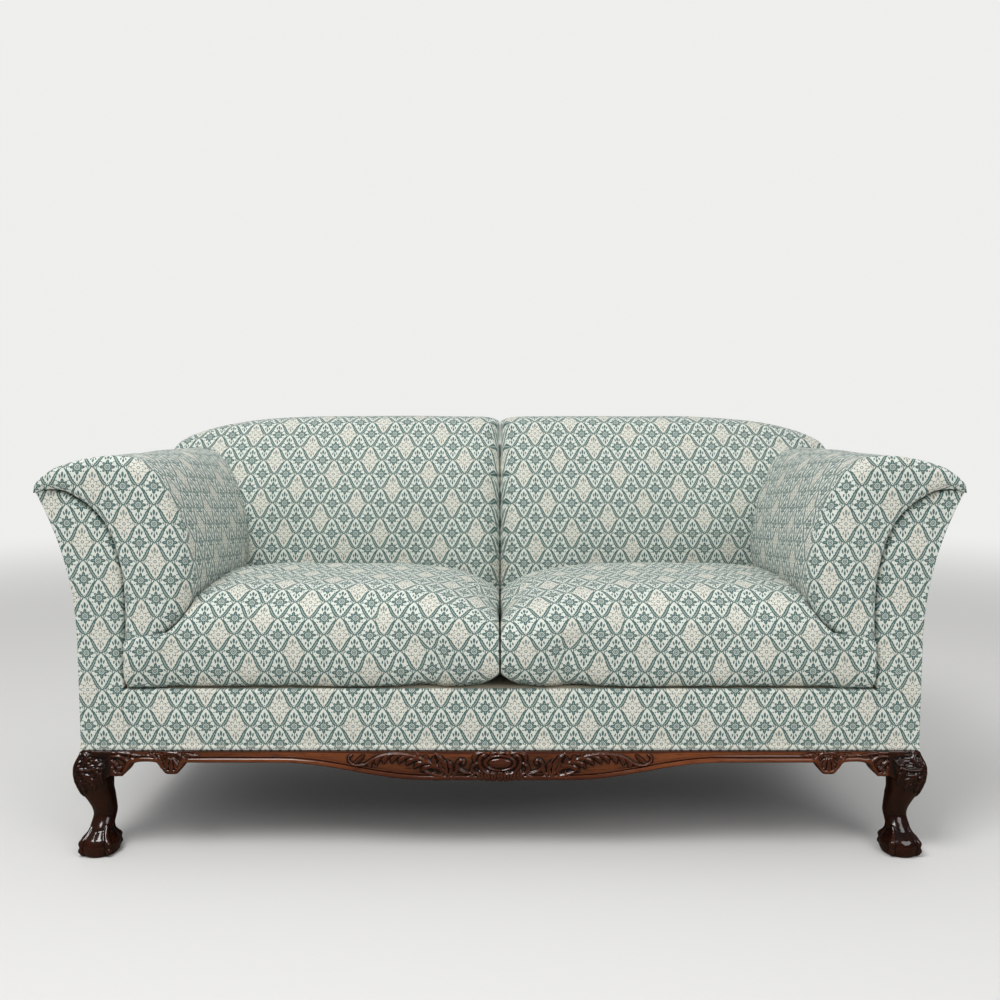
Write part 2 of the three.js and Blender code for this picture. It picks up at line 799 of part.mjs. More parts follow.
function bottomCloth() {
  const top = webBottom - fitGap;
  const half = frameOuter - fitGap;
  const inner = postInner - fitGap;
  const front = railBack + fitGap;
  const stumpRear = frameFront + postWidth + fitGap;
  const postEdge = postFront - fitGap;
  const rear = frameRear - fitGap;
  const rightSide = [
    [inner, front], [inner, stumpRear], [half, stumpRear], [half, postEdge], [inner, postEdge], [inner, rear],
  ].map(([x, y]) => new THREE.Vector2(x, y));
  const leftSide = rightSide.map((place) => new THREE.Vector2(-place.x, place.y)).reverse();
  return floorPlate([...rightSide, ...leftSide], top - bottomClothThickness, top);
}

// Glued block in an inside corner of the seat frame. Front blocks also step round the leg's stump.
function cornerBlock(atFront) {
  const inner = postInner - fitGap;
  const side = frameOuter - seatRailThickness - fitGap;
  const bottom = seatRailBottom + cornerBlockRise;
  const rearFace = postFront - fitGap;
  const tongueFace = railTongueBack + fitGap;
  const stumpRear = frameFront + postWidth + fitGap;
  const corners = atFront
    ? [[inner - cornerBlockReach, tongueFace], [inner, tongueFace], [inner, stumpRear], [side, stumpRear],
      [side, stumpRear + cornerBlockReach]]
    : [[side - cornerBlockReach, rearFace], [side, rearFace - cornerBlockReach], [side, rearFace]];
  const points = corners.map(([x, y]) => new THREE.Vector2(x, y));
  return floorPlate(points, bottom, bottom + cornerBlockHeight);
}

// Sprung seat platform with a rolled front edge.
function seatDeck() {
  const front = frameFront;
  const roll = deckRoll;
  const points = [new THREE.Vector2(front, deckBottom), new THREE.Vector2(front, deckTop - roll)];
  for (const share of [1 / 3, 2 / 3, 1]) {
    const turn = (share * Math.PI) / 2;
    const rise = roll * Math.sin(turn);
    points.push(new THREE.Vector2(front + roll * (1 - Math.cos(turn)), deckTop - roll + rise));
  }
  points.push(new THREE.Vector2(frameRear - postDepth / 2, deckTop));
  points.push(new THREE.Vector2(frameRear - postDepth / 2, deckBottom));
  const half = seamX(deckTop) - 3 * fitGap;
  return sidePlate(points, -half, half);
}

// Upholstered border under the cushions, swelling a little between its hem and its top edge.
function seatBorder() {
  const top = deckTop - fitGap;
  const hem = coverBottom + gimpHeight + fitGap;
  const points = [new THREE.Vector2(borderBack, coverBottom), new THREE.Vector2(frontPlane, coverBottom)];
  for (const share of [0, 0.2, 0.4, 0.6, 0.8]) {
    const swell = borderSwell * Math.sin(Math.PI * share);
    points.push(new THREE.Vector2(frontPlane - swell, hem + share * (top - hem)));
  }
  points.push(new THREE.Vector2(frontPlane + borderTopShare * borderThickness, top));
  points.push(new THREE.Vector2(borderBack, top));
  const half = seamX(deckTop) - 2 * fitGap;
  return sidePlate(points, -half, half);
}

function addSeat() {
  const sideInner = frameOuter - seatRailThickness;
  const stumpRear = frameFront + postWidth + fitGap;
  const inner = postInner - fitGap;
  const gimpFront = frontPlane - fitGap - gimpThickness;
  const sideRail = block(sideInner, frameOuter, stumpRear, postFront - fitGap, seatRailBottom, seatRailTop);
  const rear = postFront + seatRailThickness;
  const backRail = block(-inner, inner, postFront, rear, seatRailBottom, seatRailTop);
  addPair("seat_rail", sideRail, beech);
  addPiece("seat_rail_back", backRail, beech);
  addPair("corner_block_front", cornerBlock(true), beech);
  addPair("corner_block_rear", cornerBlock(false), beech);
  addPiece("seat_webbing", seatWebbing(), jute);
  addPiece("bottom_cloth", bottomCloth(), blackCloth);
  addPiece("seat_deck", seatDeck(), calico);
  addPiece("seat_border", seatBorder(), cloth);
  addPiece("front_gimp", block(
    -bodyHalf, bodyHalf, gimpFront, frontPlane - fitGap, coverBottom, coverBottom + gimpHeight,
  ), cloth);
}

// Crown of the right cushion over its width, falling to a seam edge at the middle of the sofa.
function cushionTopZ(x, outer) {
  const bottom = deckTop + fitGap;
  const crown = cushionCrownHeight - bottom;
  const innerShare = Math.min(1, x / cushionShoulder);
  const outerShare = Math.min(1, (outer - x) / cushionShoulder);
  const edge = cushionEdgeHeight / crown;
  const rise = (share) => edge + (1 - edge) * Math.sqrt(1 - (1 - share) ** 2);
  return bottom + crown * Math.min(rise(innerShare), rise(outerShare));
}

function seatCushion() {
  const outer = seamX(padBottomHeight) - liningThickness - 3 * fitGap;
  const bottom = deckTop + fitGap;
  const rear = backFront - 2 * fitGap;
  const front = frontPlane - cushionFrontSwell;
  const stationShares = [
    0, 0.015, 0.05, 0.1, 0.17, 0.26, 0.38, 0.5, 0.62, 0.72, 0.8, 0.86, 0.91, 0.95, 0.985, 1,
  ];
  const rings = stationShares.map((share) => {
    const x = cushionSeamGap + share * (outer - cushionSeamGap);
    const end = Math.min(1, Math.min(share, 1 - share) / cushionEndShare);
    const drawIn = cushionEndDraw * (1 - Math.sqrt(1 - (1 - end) ** 2));
    const lift = cushionCornerLift * Math.max(0, 1 - share / cushionLiftShare) ** 2;
    const top = cushionTopZ(x, outer) - drawIn;
    const low = bottom + lift + drawIn / 2;
    const middleY = (front + rear) / 2;
    const halfY = (rear - front) / 2 - drawIn;
    const seamZ = low + cushionSeamShare * (top - low);
    return Array.from({ length: cushionRingSides }, (_, s) => {
      const turn = (2 * Math.PI * s) / cushionRingSides;
      const across = Math.cos(turn);
      const up = Math.sin(turn);
      const half = up > 0 ? top - seamZ : seamZ - low;
      const power = up > 0 ? cushionCrownPower : cushionLowPower;
      const edgePower = up > 0 ? cushionTopEdgePower : cushionLowEdgePower;
      return new THREE.Vector3(
        x,
        middleY + halfY * Math.sign(across) * Math.abs(across) ** edgePower,
        seamZ + half * Math.sign(up) * Math.abs(up) ** power,
      );
    });
  });
  const padClearance = 3 * fitGap;
  const padSpace = frontPlate(
    padSection().map((place) => new THREE.Vector2(place.x - padClearance, place.y - padClearance)),
    -overallDepth, overallDepth,
  );
  return cutAway(loft(rings), [padSpace]);
}

// Front rail. Its lower edge sweeps up from the middle, drops at a carved shell, arches, and ends in an ear.
function apronEdgeZ(x) {
  const sweep = Math.min(1, Math.max(0, (x - swellEnd) / (shallowStart - swellEnd)));
  let drop = shallowDrop + (swellDrop - shallowDrop) * (0.5 + 0.5 * Math.cos(Math.PI * sweep));
  const lobes = [
    [0, cartoucheHalf, cartoucheDrop],
    [shellAt, shellHalf, shellDrop],
    [archAt, archHalf, -archLift],
  ];
  for (const [at, half, extra] of lobes) {
    const away = Math.min(1, Math.abs(x - at) / half);
    drop += extra * (0.5 + 0.5 * Math.cos(Math.PI * away));
  }
  const ear = Math.min(1, Math.max(0, (x - earStart) / earRun));
  return legHeight - drop - earDrop * ear * ear * (3 - 2 * ear);
}

function placesBetween(from, to, count) {
  return Array.from({ length: count + 1 }, (_, k) => from + (k / count) * (to - from));
}

// Leaf lobe on the rail's face: its length runs at an angle from its root, and it is half sunk.
function faceLobe(x, z, heading, length, width, height) {
  const lobe = new THREE.SphereGeometry(1, 6, 4);
  lobe.rotateZ(-Math.PI / 2);
  lobe.scale(length / 2, height, width / 2);
  lobe.translate(length / 2, 0, 0);
  lobe.rotateY(-heading);
  lobe.translate(x, railFace, z);
  return closed(lobe);
}

// Raised bead along the lower edge of the rail between two places.
function edgeBead(from, to, count) {
  const places = placesBetween(from, to, count).map(
    (x) => new THREE.Vector3(x, railFace, apronEdgeZ(x) + beadRadius),
  );
  return tube(places, places.map(() => beadRadius), 5, new THREE.Vector3(0, 1, 0));
}

// Acanthus spray that springs from beside the cartouche and curls over towards the side.
function leafSpray() {
  const spine = new THREE.SplineCurve(spineShares.map(([along, down]) => new THREE.Vector2(
    sprayStart + along * sprayLength,
    legHeight - down * swellDrop,
  )));
  const stem = spine.getPoints(14).map((place) => new THREE.Vector3(place.x, railFace, place.y));
  const taper = stem.map((_, k) => sprayStemRadius * (1 - stemTaperShare * (k / (stem.length - 1))));
  const pieces = [tube(stem, taper, 5, new THREE.Vector3(0, 1, 0))];
  for (const [side, from, run, count] of sprayLobeShares) {
    for (let k = 0; k < count; k += 1) {
      const t = from + (k / count) * run;
      const root = spine.getPoint(t);
      const tangent = spine.getTangent(t);
      const heading = Math.atan2(tangent.y, tangent.x) + side * leafSpread;
      const length = leafLength * (1 - leafTaperShare * t);
      pieces.push(faceLobe(root.x, root.y, heading, length, leafWidth, leafRelief));
    }
  }
  return pieces;
}

function cartouche() {
  const z = legHeight - cartoucheCentreDrop;
  const boss = new THREE.SphereGeometry(1, 12, 6);
  boss.scale(cartoucheBossWidth / 2, leafRelief, cartoucheBossHeight / 2);
  boss.translate(0, railFace, z);
  const frame = new THREE.TorusGeometry(1, cartoucheFrameShare, 5, 16);
  frame.rotateX(Math.PI / 2);
  frame.scale(
    cartoucheFrameWidthShare * cartoucheHalf,
    leafRelief / cartoucheFrameShare / cartoucheFrameSink,
    cartoucheFrameHeightShare * cartoucheBossHeight,
  );
  frame.translate(0, railFace, z);
  const curls = [];
  for (const turn of curlTurns) {
    const x = curlWidthShare * cartoucheHalf * Math.cos(turn);
    const rise = curlHeightShare * cartoucheBossHeight * Math.sin(turn);
    const length = curlLengthShare * leafWidth;
    curls.push(faceLobe(x, z + rise, turn, length, leafWidth, curlReliefShare * leafRelief));
  }
  return [closed(boss), closed(frame), ...curls];
}

// Fan of ribs over the drop, and a scroll of lobes at the ear.
function railEndCarving() {
  const pieces = [];
  const middle = legHeight - shallowDrop / 2;
  for (const k of [-2, -1, 0, 1, 2]) {
    const heading = -Math.PI / 2 + k * shellSpread;
    pieces.push(faceLobe(shellAt, middle, heading, shellRibLength, shellRibWidth, leafRelief));
  }
  for (const k of [0, 1, 2]) {
    const heading = -Math.PI / 2 - k * shellSpread;
    const x = railHalf - earLobeInset;
    pieces.push(faceLobe(x, middle, heading, shellRibLength, shellRibWidth, leafRelief));
  }
  return pieces;
}

function frontRail() {
  const right = [
    ...placesBetween(0, cartoucheHalf, 5),
    ...placesBetween(cartoucheHalf, shellAt - shellHalf, 20).slice(1),
    ...placesBetween(shellAt - shellHalf, railHalf, 22).slice(1),
  ];
  const edge = [...right.slice(1).reverse().map((x) => -x), ...right];
  const outline = edge.map((x) => new THREE.Vector2(x, apronEdgeZ(Math.abs(x))));
  outline.push(new THREE.Vector2(railHalf, legHeight), new THREE.Vector2(-railHalf, legHeight));
  const inner = postInner - fitGap;
  const carving = [
    ...leafSpray(),
    ...railEndCarving(),
    edgeBead(cartoucheHalf, shellAt - shellHalf, 16),
    edgeBead(archAt - archHalf, earStart, 6),
  ];
  const rail = joined([
    frontPlate(outline, railFace, railBack),
    block(-railHalf, railHalf, frameFront, railBack, legHeight - railRebate, seatRailTop),
    block(-inner, inner, frameFront, railBack, coverBottom, seatRailTop),
    block(-inner, inner, railBack - fitGap, railTongueBack, seatRailBottom, seatRailTop),
    ...cartouche(),
    ...carving,
    ...carving.map(mirrored),
  ]);
  const above = block(-railHalf, railHalf, -overallDepth, frameFront - fitGap, legHeight, deckTop);
  return cutAway(rail, [above]);
}

// Place on the cabriole leg's surface, which bows out along the diagonal.
function legPlace([rise, reach, size, square], turn) {
  const power = 2 / (2 + cornerSharpness * square);
  const half = (size * kneeWidth) / 2;
  const across = Math.cos(turn);
  const along = Math.sin(turn);
  return new THREE.Vector3(
    ankleX + reach * kneeReach + half * Math.sign(across) * Math.abs(across) ** power,
    ankleY - reach * kneeForwardShare * kneeReach + half * Math.sign(along) * Math.abs(along) ** power,
    rise * legHeight,
  );
}

// Leaf lobes in rows down the knee, on its outward corner and to both sides of it, lying along its surface.
function kneeLeaves() {
  const pieces = [];
  for (const level of kneeLeafLevels) {
    for (const k of [-1, 0, 1]) {
      const turn = -Math.PI / 4 + k * kneeLeafSpread;
      const top = legPlace(legSectionShares[level], turn);
      const foot = legPlace(legSectionShares[level - 1], turn);
      const along = foot.clone().sub(top).normalize();
      const sideways = new THREE.Vector3(-Math.sin(turn), Math.cos(turn), 0);
      const outwards = sideways.clone().cross(along).normalize();
      const lobe = new THREE.SphereGeometry(1, 6, 4);
      lobe.scale(kneeLeafRelief, kneeLeafLength / 2, kneeLeafWidth / 2);
      lobe.applyMatrix4(new THREE.Matrix4().makeBasis(outwards, along, outwards.clone().cross(along)));
      const middle = top.lerp(foot, k === 0 ? middleLeafShare : sideLeafShare);
      lobe.translate(middle.x, middle.y, middle.z);
      pieces.push(closed(lobe));
    }
  }
  return pieces;
}

// Eagle toe that runs down over the ball, with knuckles, to a claw on the floor.
function toe(turn, ballX, ballY, ballZ) {
  const places = toeShares.map((_, k) => {
    const pitch = toeStart - (k / (toeShares.length - 1)) * toeSweep;
    const out = ballRadius * Math.cos(pitch);
    return new THREE.Vector3(
      ballX + out * Math.cos(turn),
      ballY + out * Math.sin(turn),
      ballZ + (ballHeight / 2) * Math.sin(pitch),
    );
  });
  const radii = toeShares.map((share) => share * toeRadius);
  return tube(places, radii, 6, new THREE.Vector3(-Math.sin(turn), Math.cos(turn), 0));
}

function sideBracket() {
  const start = railFace + legBlockWidth - bracketSeat;
  const points = bracketShares.map(([back, down]) => new THREE.Vector2(
    start + back * (bracketReach + bracketSeat),
    legHeight - down * bracketDrop,
  ));
  return sidePlate(points, frameOuter - bracketThickness, frameOuter);
}

function frontLeg() {
  const ballX = ankleX + ballReach;
  const ballY = ankleY - ballReach;
  const ballZ = ballHeight / 2 - ballFlat;
  const ball = new THREE.SphereGeometry(1, 14, 8);
  ball.rotateX(Math.PI / 2);
  ball.scale(ballRadius, ballRadius, ballHeight / 2);
  ball.translate(ballX, ballY, ballZ);
  const rings = legSectionShares.map((section) => Array.from(
    { length: legSides },
    (_, s) => legPlace(section, (2 * Math.PI * s) / legSides),
  ));
  const stump = block(
    postInner, frameOuter, frameFront, frameFront + postWidth, legHeight - stumpSink, seatRailTop,
  );
  const toes = toeTurnDegrees.map((turn) => toe(THREE.MathUtils.degToRad(turn), ballX, ballY, ballZ));
  const carved = joined([loft(rings), closed(ball), sideBracket(), ...toes, ...kneeLeaves()]);
  const floor = block(0, bodyWidth, -overallDepth, overallDepth, -cutOverrun, 0);
  const above = block(0, bodyWidth, -overallDepth, overallDepth, legHeight, deckTop);
  return joined([cutAway(carved, [floor, above]), stump]);
}

function addShowWood() {
  addPiece("front_rail", frontRail(), mahogany);
  addPair("front_leg", frontLeg(), mahogany);
}

addShowWood();
addSeat();
addSprings();
addArms();
addBack();
addPair("seat_cushion", seatCushion(), cloth);

export default sofa;
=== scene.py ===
import json
import math

import bmesh
import bpy
import numpy as np
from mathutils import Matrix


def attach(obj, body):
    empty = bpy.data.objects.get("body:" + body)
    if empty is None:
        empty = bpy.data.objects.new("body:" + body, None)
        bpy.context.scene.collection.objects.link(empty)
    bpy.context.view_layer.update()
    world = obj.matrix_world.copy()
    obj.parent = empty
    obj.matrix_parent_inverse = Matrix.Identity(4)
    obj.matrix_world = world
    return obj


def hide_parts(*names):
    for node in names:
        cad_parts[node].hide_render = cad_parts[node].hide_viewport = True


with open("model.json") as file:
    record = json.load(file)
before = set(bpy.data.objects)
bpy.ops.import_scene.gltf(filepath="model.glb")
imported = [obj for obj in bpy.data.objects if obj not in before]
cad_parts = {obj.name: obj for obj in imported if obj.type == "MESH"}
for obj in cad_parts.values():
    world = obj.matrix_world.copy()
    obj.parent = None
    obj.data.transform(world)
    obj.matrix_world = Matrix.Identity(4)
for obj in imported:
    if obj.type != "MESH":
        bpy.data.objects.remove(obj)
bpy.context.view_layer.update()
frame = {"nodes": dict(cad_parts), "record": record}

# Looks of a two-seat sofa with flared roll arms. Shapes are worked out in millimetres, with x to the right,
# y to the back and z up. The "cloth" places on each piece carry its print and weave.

MM = 0.001

# Heights above the floor
LEG_HEIGHT = 204.0
COVER_BOTTOM = 204.3
HEM_TOP = 214.3
SEAT_FRAME_TOP = 296.0
SEAT_BASE = 323.3
PAD_LOW = 420.0
PAD_HIGH = 776.0
BACK_FRAME_TOP = 778.0
BACK_LEDGE = 779.6
BACK_TOP = 852.0

# Places from the middle outwards, and the arm's outer tip as x and z
LINING = 724.0
SEAM_FOOT = 730.8
RAIL_HALF = 753.4
FRAME_HALF = 809.7
BACK_HALF = 812.0
BODY_HALF = 816.0
TIP = (885.0, 706.0)

# Depths from the front to the back
PAD_FRONT = -358.5
RAIL_FACE = -356.5
HEM_FRONT = -352.4
COVER_FRONT = -350.5
FRAME_FRONT = -336.2
RAIL_BACK = -318.5
BACK_FRONT = 101.4
FRAME_REAR = 352.0
COVER_REAR = 357.3
BACK_REAR = 380.0

# The arm's spread: its seam, its crown, and the share of its height where the outer side starts to flare
SEAM_WIDE = 159.0
PAD_WIDE = 292.0
FLARE_FROM = 0.4
# How far the back's frame rakes over its height, and how far the stuffed back leans
RAKE = 20.0
BACK_LEAN = 122.0

# Shares of width and height along the arm's seam and over its crown, both from the tip
ARM_SEAM = [[0, 1], [0.13, 1.01], [0.34, 1], [0.52, 0.968], [0.67, 0.93], [0.81, 0.873], [0.92, 0.78],
            [0.99, 0.66], [1, 0.5], [0.97, 0.24], [0.97, 0]]
ARM_CROWN = [[0, 0.814], [0.006, 0.846], [0.034, 0.877], [0.09, 0.914], [0.15, 0.942], [0.27, 0.974],
             [0.42, 0.997], [0.56, 1], [0.68, 0.976], [0.78, 0.907], [0.88, 0.764], [0.97, 0.55], [1, 0.357],
             [0.966, 0.185], [0.87, 0.073], [0.73, 0.009]]


# Curves and grids of points

def run_along(curve):
    """How far along a curve each of its points lies."""
    return np.concatenate([[0], np.cumsum(np.linalg.norm(np.diff(curve, axis=0), axis=1))])


def even(curve, places):
    """Points along a curve at the given shares of its length."""
    along = run_along(curve)
    return np.column_stack([np.interp(np.asarray(places) * along[-1], along, curve[:, k])
                            for k in range(curve.shape[1])])


SPAN_STEPS = 24


def spline(points, places):
    """A smooth curve through the points, read at the given shares of its length."""
    p = np.asarray(points, float)
    p = np.vstack([2 * p[0] - p[1], p, 2 * p[-1] - p[-2]])
    t = np.linspace(0, 1, SPAN_STEPS, endpoint=False)[:, None]
    runs = []
    for k in range(len(p) - 3):
        a, b, c, d = p[k:k + 4]
        runs.append(0.5 * (2 * b + (c - a) * t + (2 * a - 5 * b + 4 * c - d) * t ** 2
                           + (3 * b - a - 3 * c + d) * t ** 3))
    return even(np.vstack(runs + [p[-2:-1]]), places)


SWELLS = 8


def uneven(places, size, seed):
    """Gentle unevenness from about -1 to 1, with swells about `size` across."""
    chance = np.random.default_rng(seed)
    total = 0
    for _ in range(SWELLS):
        way = chance.normal(size=places.shape[-1])
        way *= 2 * math.pi / (size * chance.uniform(0.7, 1.5) * np.linalg.norm(way))
        total = total + np.sin(places @ way + chance.uniform(0, 2 * math.pi))
    return 2 * total / SWELLS


def crowded(count, near, share):
    """Shares from 0 to 1 with `near` extra places inside `share` of both ends."""
    turn = 1 - np.cos(np.linspace(0, math.pi / 2, near, endpoint=False))
    return np.concatenate([turn * share, np.linspace(share, 1 - share, count), 1 - (turn * share)[::-1]])


def panel(points, cloth):
    """A grid of points and the cloth places on it, as four-cornered patches."""
    def patches(grid):
        grid = np.asarray(grid, float)
        return np.stack([grid[:-1, :-1], grid[1:, :-1], grid[1:, 1:], grid[:-1, 1:]], 2).reshape(
            -1, 4, grid.shape[-1])
    return patches(points), patches(cloth)


def between(first, last, shares):
    """Points from the curve `first` to the curve `last`, one column for each share."""
    s = np.asarray(shares, float)[None, :, None]
    return np.asarray(first)[:, None, :] * (1 - s) + np.asarray(last)[:, None, :] * s


# Meshes and pieces

# Corners this close are one point; the odd start keeps whole sizes off the edges between two cells.
WELD = 0.01
WELD_START = 0.3137
SHARP = 50


def weld(panels):
    """The points, faces and cloth places of panels that meet."""
    corners = np.concatenate([p for p, _ in panels]).reshape(-1, 3)
    keys = np.floor(corners / WELD + WELD_START).astype(np.int64)
    _, first, where = np.unique(keys, axis=0, return_index=True, return_inverse=True)
    return corners[first], where.reshape(-1, 4), np.concatenate([c for _, c in panels])


def sew(name, panels, sharp=SHARP):
    """One closed mesh from panels that meet."""
    return mesh_of(name, *weld(panels), sharp)


def mesh_of(name, points, faces, cloth, sharp):
    """A mesh with its cloth places; doubled corners, and faces left with under three, drop out."""
    fair = faces != np.roll(faces, 1, axis=1)
    fair &= ~((fair.sum(1) < 3) | (faces[:, 0] == faces[:, 2]) | (faces[:, 1] == faces[:, 3]))[:, None]
    counts = fair.sum(1)
    loops = faces[fair]
    counts = counts[counts > 0]
    mesh = bpy.data.meshes.new(name)
    mesh.vertices.add(len(points))
    mesh.vertices.foreach_set("co", (points * MM).ravel())
    mesh.loops.add(len(loops))
    mesh.loops.foreach_set("vertex_index", loops.astype(np.int32))
    mesh.polygons.add(len(counts))
    mesh.polygons.foreach_set("loop_start", np.concatenate([[0], np.cumsum(counts)[:-1]]).astype(np.int32))
    mesh.update(calc_edges=True)
    places = mesh.attributes.new("cloth", "FLOAT_VECTOR", "CORNER")
    flat = np.column_stack([cloth[fair] * MM, np.zeros(len(loops))])
    places.data.foreach_set("vector", flat.ravel())
    mesh.validate()
    close_up(mesh)
    mesh.polygons.foreach_set("use_smooth", np.ones(len(mesh.polygons), bool))
    mesh.set_sharp_from_angle(angle=math.radians(sharp))
    return mesh


def close_up(mesh):
    """Fills an open end with one face and turns every face outwards."""
    work = bmesh.new()
    work.from_mesh(mesh)
    rims = [edge for edge in work.edges if edge.is_boundary]
    if rims:
        bmesh.ops.holes_fill(work, edges=rims, sides=0)
    bmesh.ops.recalc_face_normals(work, faces=work.faces)
    work.to_mesh(mesh)
    work.free()


def add(mesh, body, slot, finish, *nodes):
    """A piece of the sofa, named as its mesh: it rides on a body, has a finish and stands for the nodes."""
    piece = bpy.data.objects.new(mesh.name, mesh)
    bpy.context.scene.collection.objects.link(piece)
    mesh.materials.clear()
    mesh.materials.append(finish)
    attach(piece, body)
    if nodes:
        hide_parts(*nodes)
    return piece


def places_of(mesh):
    """A mesh's points in millimetres."""
    spots = np.zeros(len(mesh.vertices) * 3)
    mesh.vertices.foreach_get("co", spots)
    return spots.reshape(-1, 3) / MM


def put_places(mesh, spots):
    mesh.vertices.foreach_set("co", (spots * MM).ravel())
    mesh.update()


SWELL_STEPS = 20


def swell(mesh, pressure, most):
    """The stuffing's push: cloth blown up from inside, no point moving further than `most`."""
    scene = bpy.context.scene
    proof = bpy.data.objects.new("swelling", mesh)
    scene.collection.objects.link(proof)
    cloth = proof.modifiers.new("swelling", "CLOTH")
    cloth.settings.use_pressure = True
    cloth.settings.uniform_pressure_force = pressure
    cloth.settings.effector_weights.gravity = 0
    cloth.settings.quality = 6
    cloth.settings.tension_stiffness = 25
    cloth.settings.compression_stiffness = 25
    cloth.settings.bending_stiffness = 2
    for step in range(1, SWELL_STEPS + 1):
        scene.frame_set(step)
    shown = proof.evaluated_get(bpy.context.evaluated_depsgraph_get())
    spots = np.zeros(len(mesh.vertices) * 3)
    shown.data.vertices.foreach_get("co", spots)
    start = places_of(mesh)
    move = spots.reshape(-1, 3) / MM - start
    far = np.linalg.norm(move, axis=1)
    soft = most * np.tanh(far / most)
    put_places(mesh, start + move * (soft / np.maximum(far, 1e-6))[:, None])
    proof.modifiers.clear()
    scene.frame_set(1)
    bpy.data.objects.remove(proof)


def slab(name, panels, outward, thickness, radius, dome=0.0, spread=60.0):
    """A cover of some thickness on a base surface: rounded edges, a slight dome and a flat back."""
    points, faces, cloth = weld(panels)
    edges = np.stack([faces, np.roll(faces, -1, axis=1)], 2).reshape(-1, 2)
    laid = cloth.reshape(-1, 2)
    next_laid = np.roll(cloth, -1, axis=1).reshape(-1, 2)
    real = edges[:, 0] != edges[:, 1]
    edges, laid, next_laid = edges[real], laid[real], next_laid[real]
    _, back, seen = np.unique(np.sort(edges, axis=1), axis=0, return_inverse=True, return_counts=True)
    rim = seen[back] == 1
    edges, laid, next_laid = edges[rim], laid[rim], next_laid[rim]
    border = points[np.unique(edges)]
    reach = np.full(len(points), np.inf)
    for spot in np.array_split(border, max(1, len(border) // 64)):
        reach = np.minimum(reach, np.linalg.norm(points[:, None] - spot[None], axis=2).min(1))
    out = outward(points)
    out = out / np.linalg.norm(out, axis=1)[:, None]
    round_by = radius(points) if callable(radius) else radius
    fall = round_by - np.sqrt(np.maximum(round_by ** 2 - np.maximum(round_by - reach, 0) ** 2, 0))
    rise = dome * (1 - np.exp(-(reach / spread) ** 2))
    both = np.vstack([points + out * (rise - fall)[:, None], points - out * thickness])
    n = len(points)
    rim_faces = np.stack([edges[:, 0], edges[:, 1], edges[:, 1] + n, edges[:, 0] + n], 1)
    rim_cloth = np.stack([laid, next_laid, next_laid, laid], 1)
    return mesh_of(name, both, np.vstack([faces, faces + n, rim_faces]),
                   np.concatenate([cloth, cloth, rim_cloth]), SHARP)


# Shared outlines

def back_shift(z):
    """How far the raked back stands behind its foot."""
    rise = np.maximum(0, np.asarray(z, float) - SEAT_FRAME_TOP)
    return RAKE / (BACK_FRAME_TOP - SEAT_FRAME_TOP) * rise


def back_face(z):
    """The depth of the stuffed back's face."""
    rise = np.clip((np.asarray(z, float) - SEAT_BASE) / (BACK_TOP - SEAT_BASE), 0, 1)
    return BACK_FRONT + BACK_LEAN * rise ** 2.6


def arm_outside(z):
    """The arm's outer side, which flares towards its tip, as x."""
    rise = (np.asarray(z, float) - LEG_HEIGHT) / (TIP[1] - LEG_HEIGHT)
    return BODY_HALF + (TIP[0] - BODY_HALF) * np.maximum(0, (rise - FLARE_FROM) / (1 - FLARE_FROM)) ** 2.2


def seam_curve(places):
    """The arm's seam from its tip down to the foot, as x and z."""
    high = TIP[1] - LEG_HEIGHT
    return spline([[TIP[0] - SEAM_WIDE * s, LEG_HEIGHT + high * h] for s, h in ARM_SEAM], places)


def crown_curve(places):
    """The arm pad's outside from the tip over the top and down its inner side, as x and z."""
    high = PAD_HIGH - PAD_LOW
    return spline([[TIP[0] - PAD_WIDE * s, PAD_LOW + high * h] for s, h in ARM_CROWN], places)


def handed(panels, flip):
    """The right side's panels, or their mirror image for the left side."""
    return [(p * [-1, 1, 1], c * [-1, 1]) for p, c in panels] if flip else panels


# Soft pieces

# Points round each edge of the arm's front, over its face, and along the skin behind it
ROUND = 9
FACE = 24
FRONT_POINTS = ROUND + FACE + ROUND
FRONT_MIDDLE = 20
SKIN_POINTS = 79
# The dark gap beside the arm's front cover, how far the pad's flange lies behind that cover, and the pad's
# own thickness behind its front, as a share of its width there
SLOT = 3.0
FLANGE = 24.0
INNER_SHARE = 0.42


def arm_ring(seam, crown, fold, turn, bulge, stops):
    """One ring of the stuffed arm, from its seam over the front and back along the crown."""
    way = crown - seam
    width = float(np.linalg.norm(way))
    way = way / width
    angle = np.linspace(0, math.pi / 2, ROUND)
    slot = min(SLOT, width * 0.05)
    reach = np.concatenate([slot + (fold - slot) * (1 - np.cos(angle)),
                            np.linspace(fold, width - turn, FACE + 2)[1:-1],
                            width - turn * (1 - np.sin(angle))])
    back = np.concatenate([fold * (1 - np.sin(angle)), np.zeros(FACE), turn * (1 - np.cos(angle))])
    share = np.clip(reach / width, 0, 1)
    depth = PAD_FRONT + back - bulge * np.sin(math.pi * share) ** 0.8
    near, far = stops
    flange = COVER_FRONT + FLANGE
    inner = width * INNER_SHARE
    side = [near - (near - depth[-1]) * np.append(1 - crowded(56, 4, 0.03)[1:-1], 0),
            np.linspace(near, far, 20)[1:], np.full(4, far), np.linspace(far, near, 8)[1:],
            np.linspace(near, flange, 12)[1:], np.full(5, flange), [(flange + depth[0]) / 2]]
    drop = [np.full(len(side[0]) + len(side[1]), width), np.linspace(width, inner, 5)[1:],
            np.full(len(side[3]) + len(side[4]), inner), np.linspace(inner, 0, 6)[1:], [slot]]
    reach = np.concatenate([reach] + drop)
    depth = np.concatenate([depth] + side)
    line = seam + way * reach[:, None]
    return np.column_stack([line[:, 0], depth, line[:, 1]]), way


# The pad runs past the back outside this place, and stops against it inside.
PASSES = BACK_HALF + 0.2
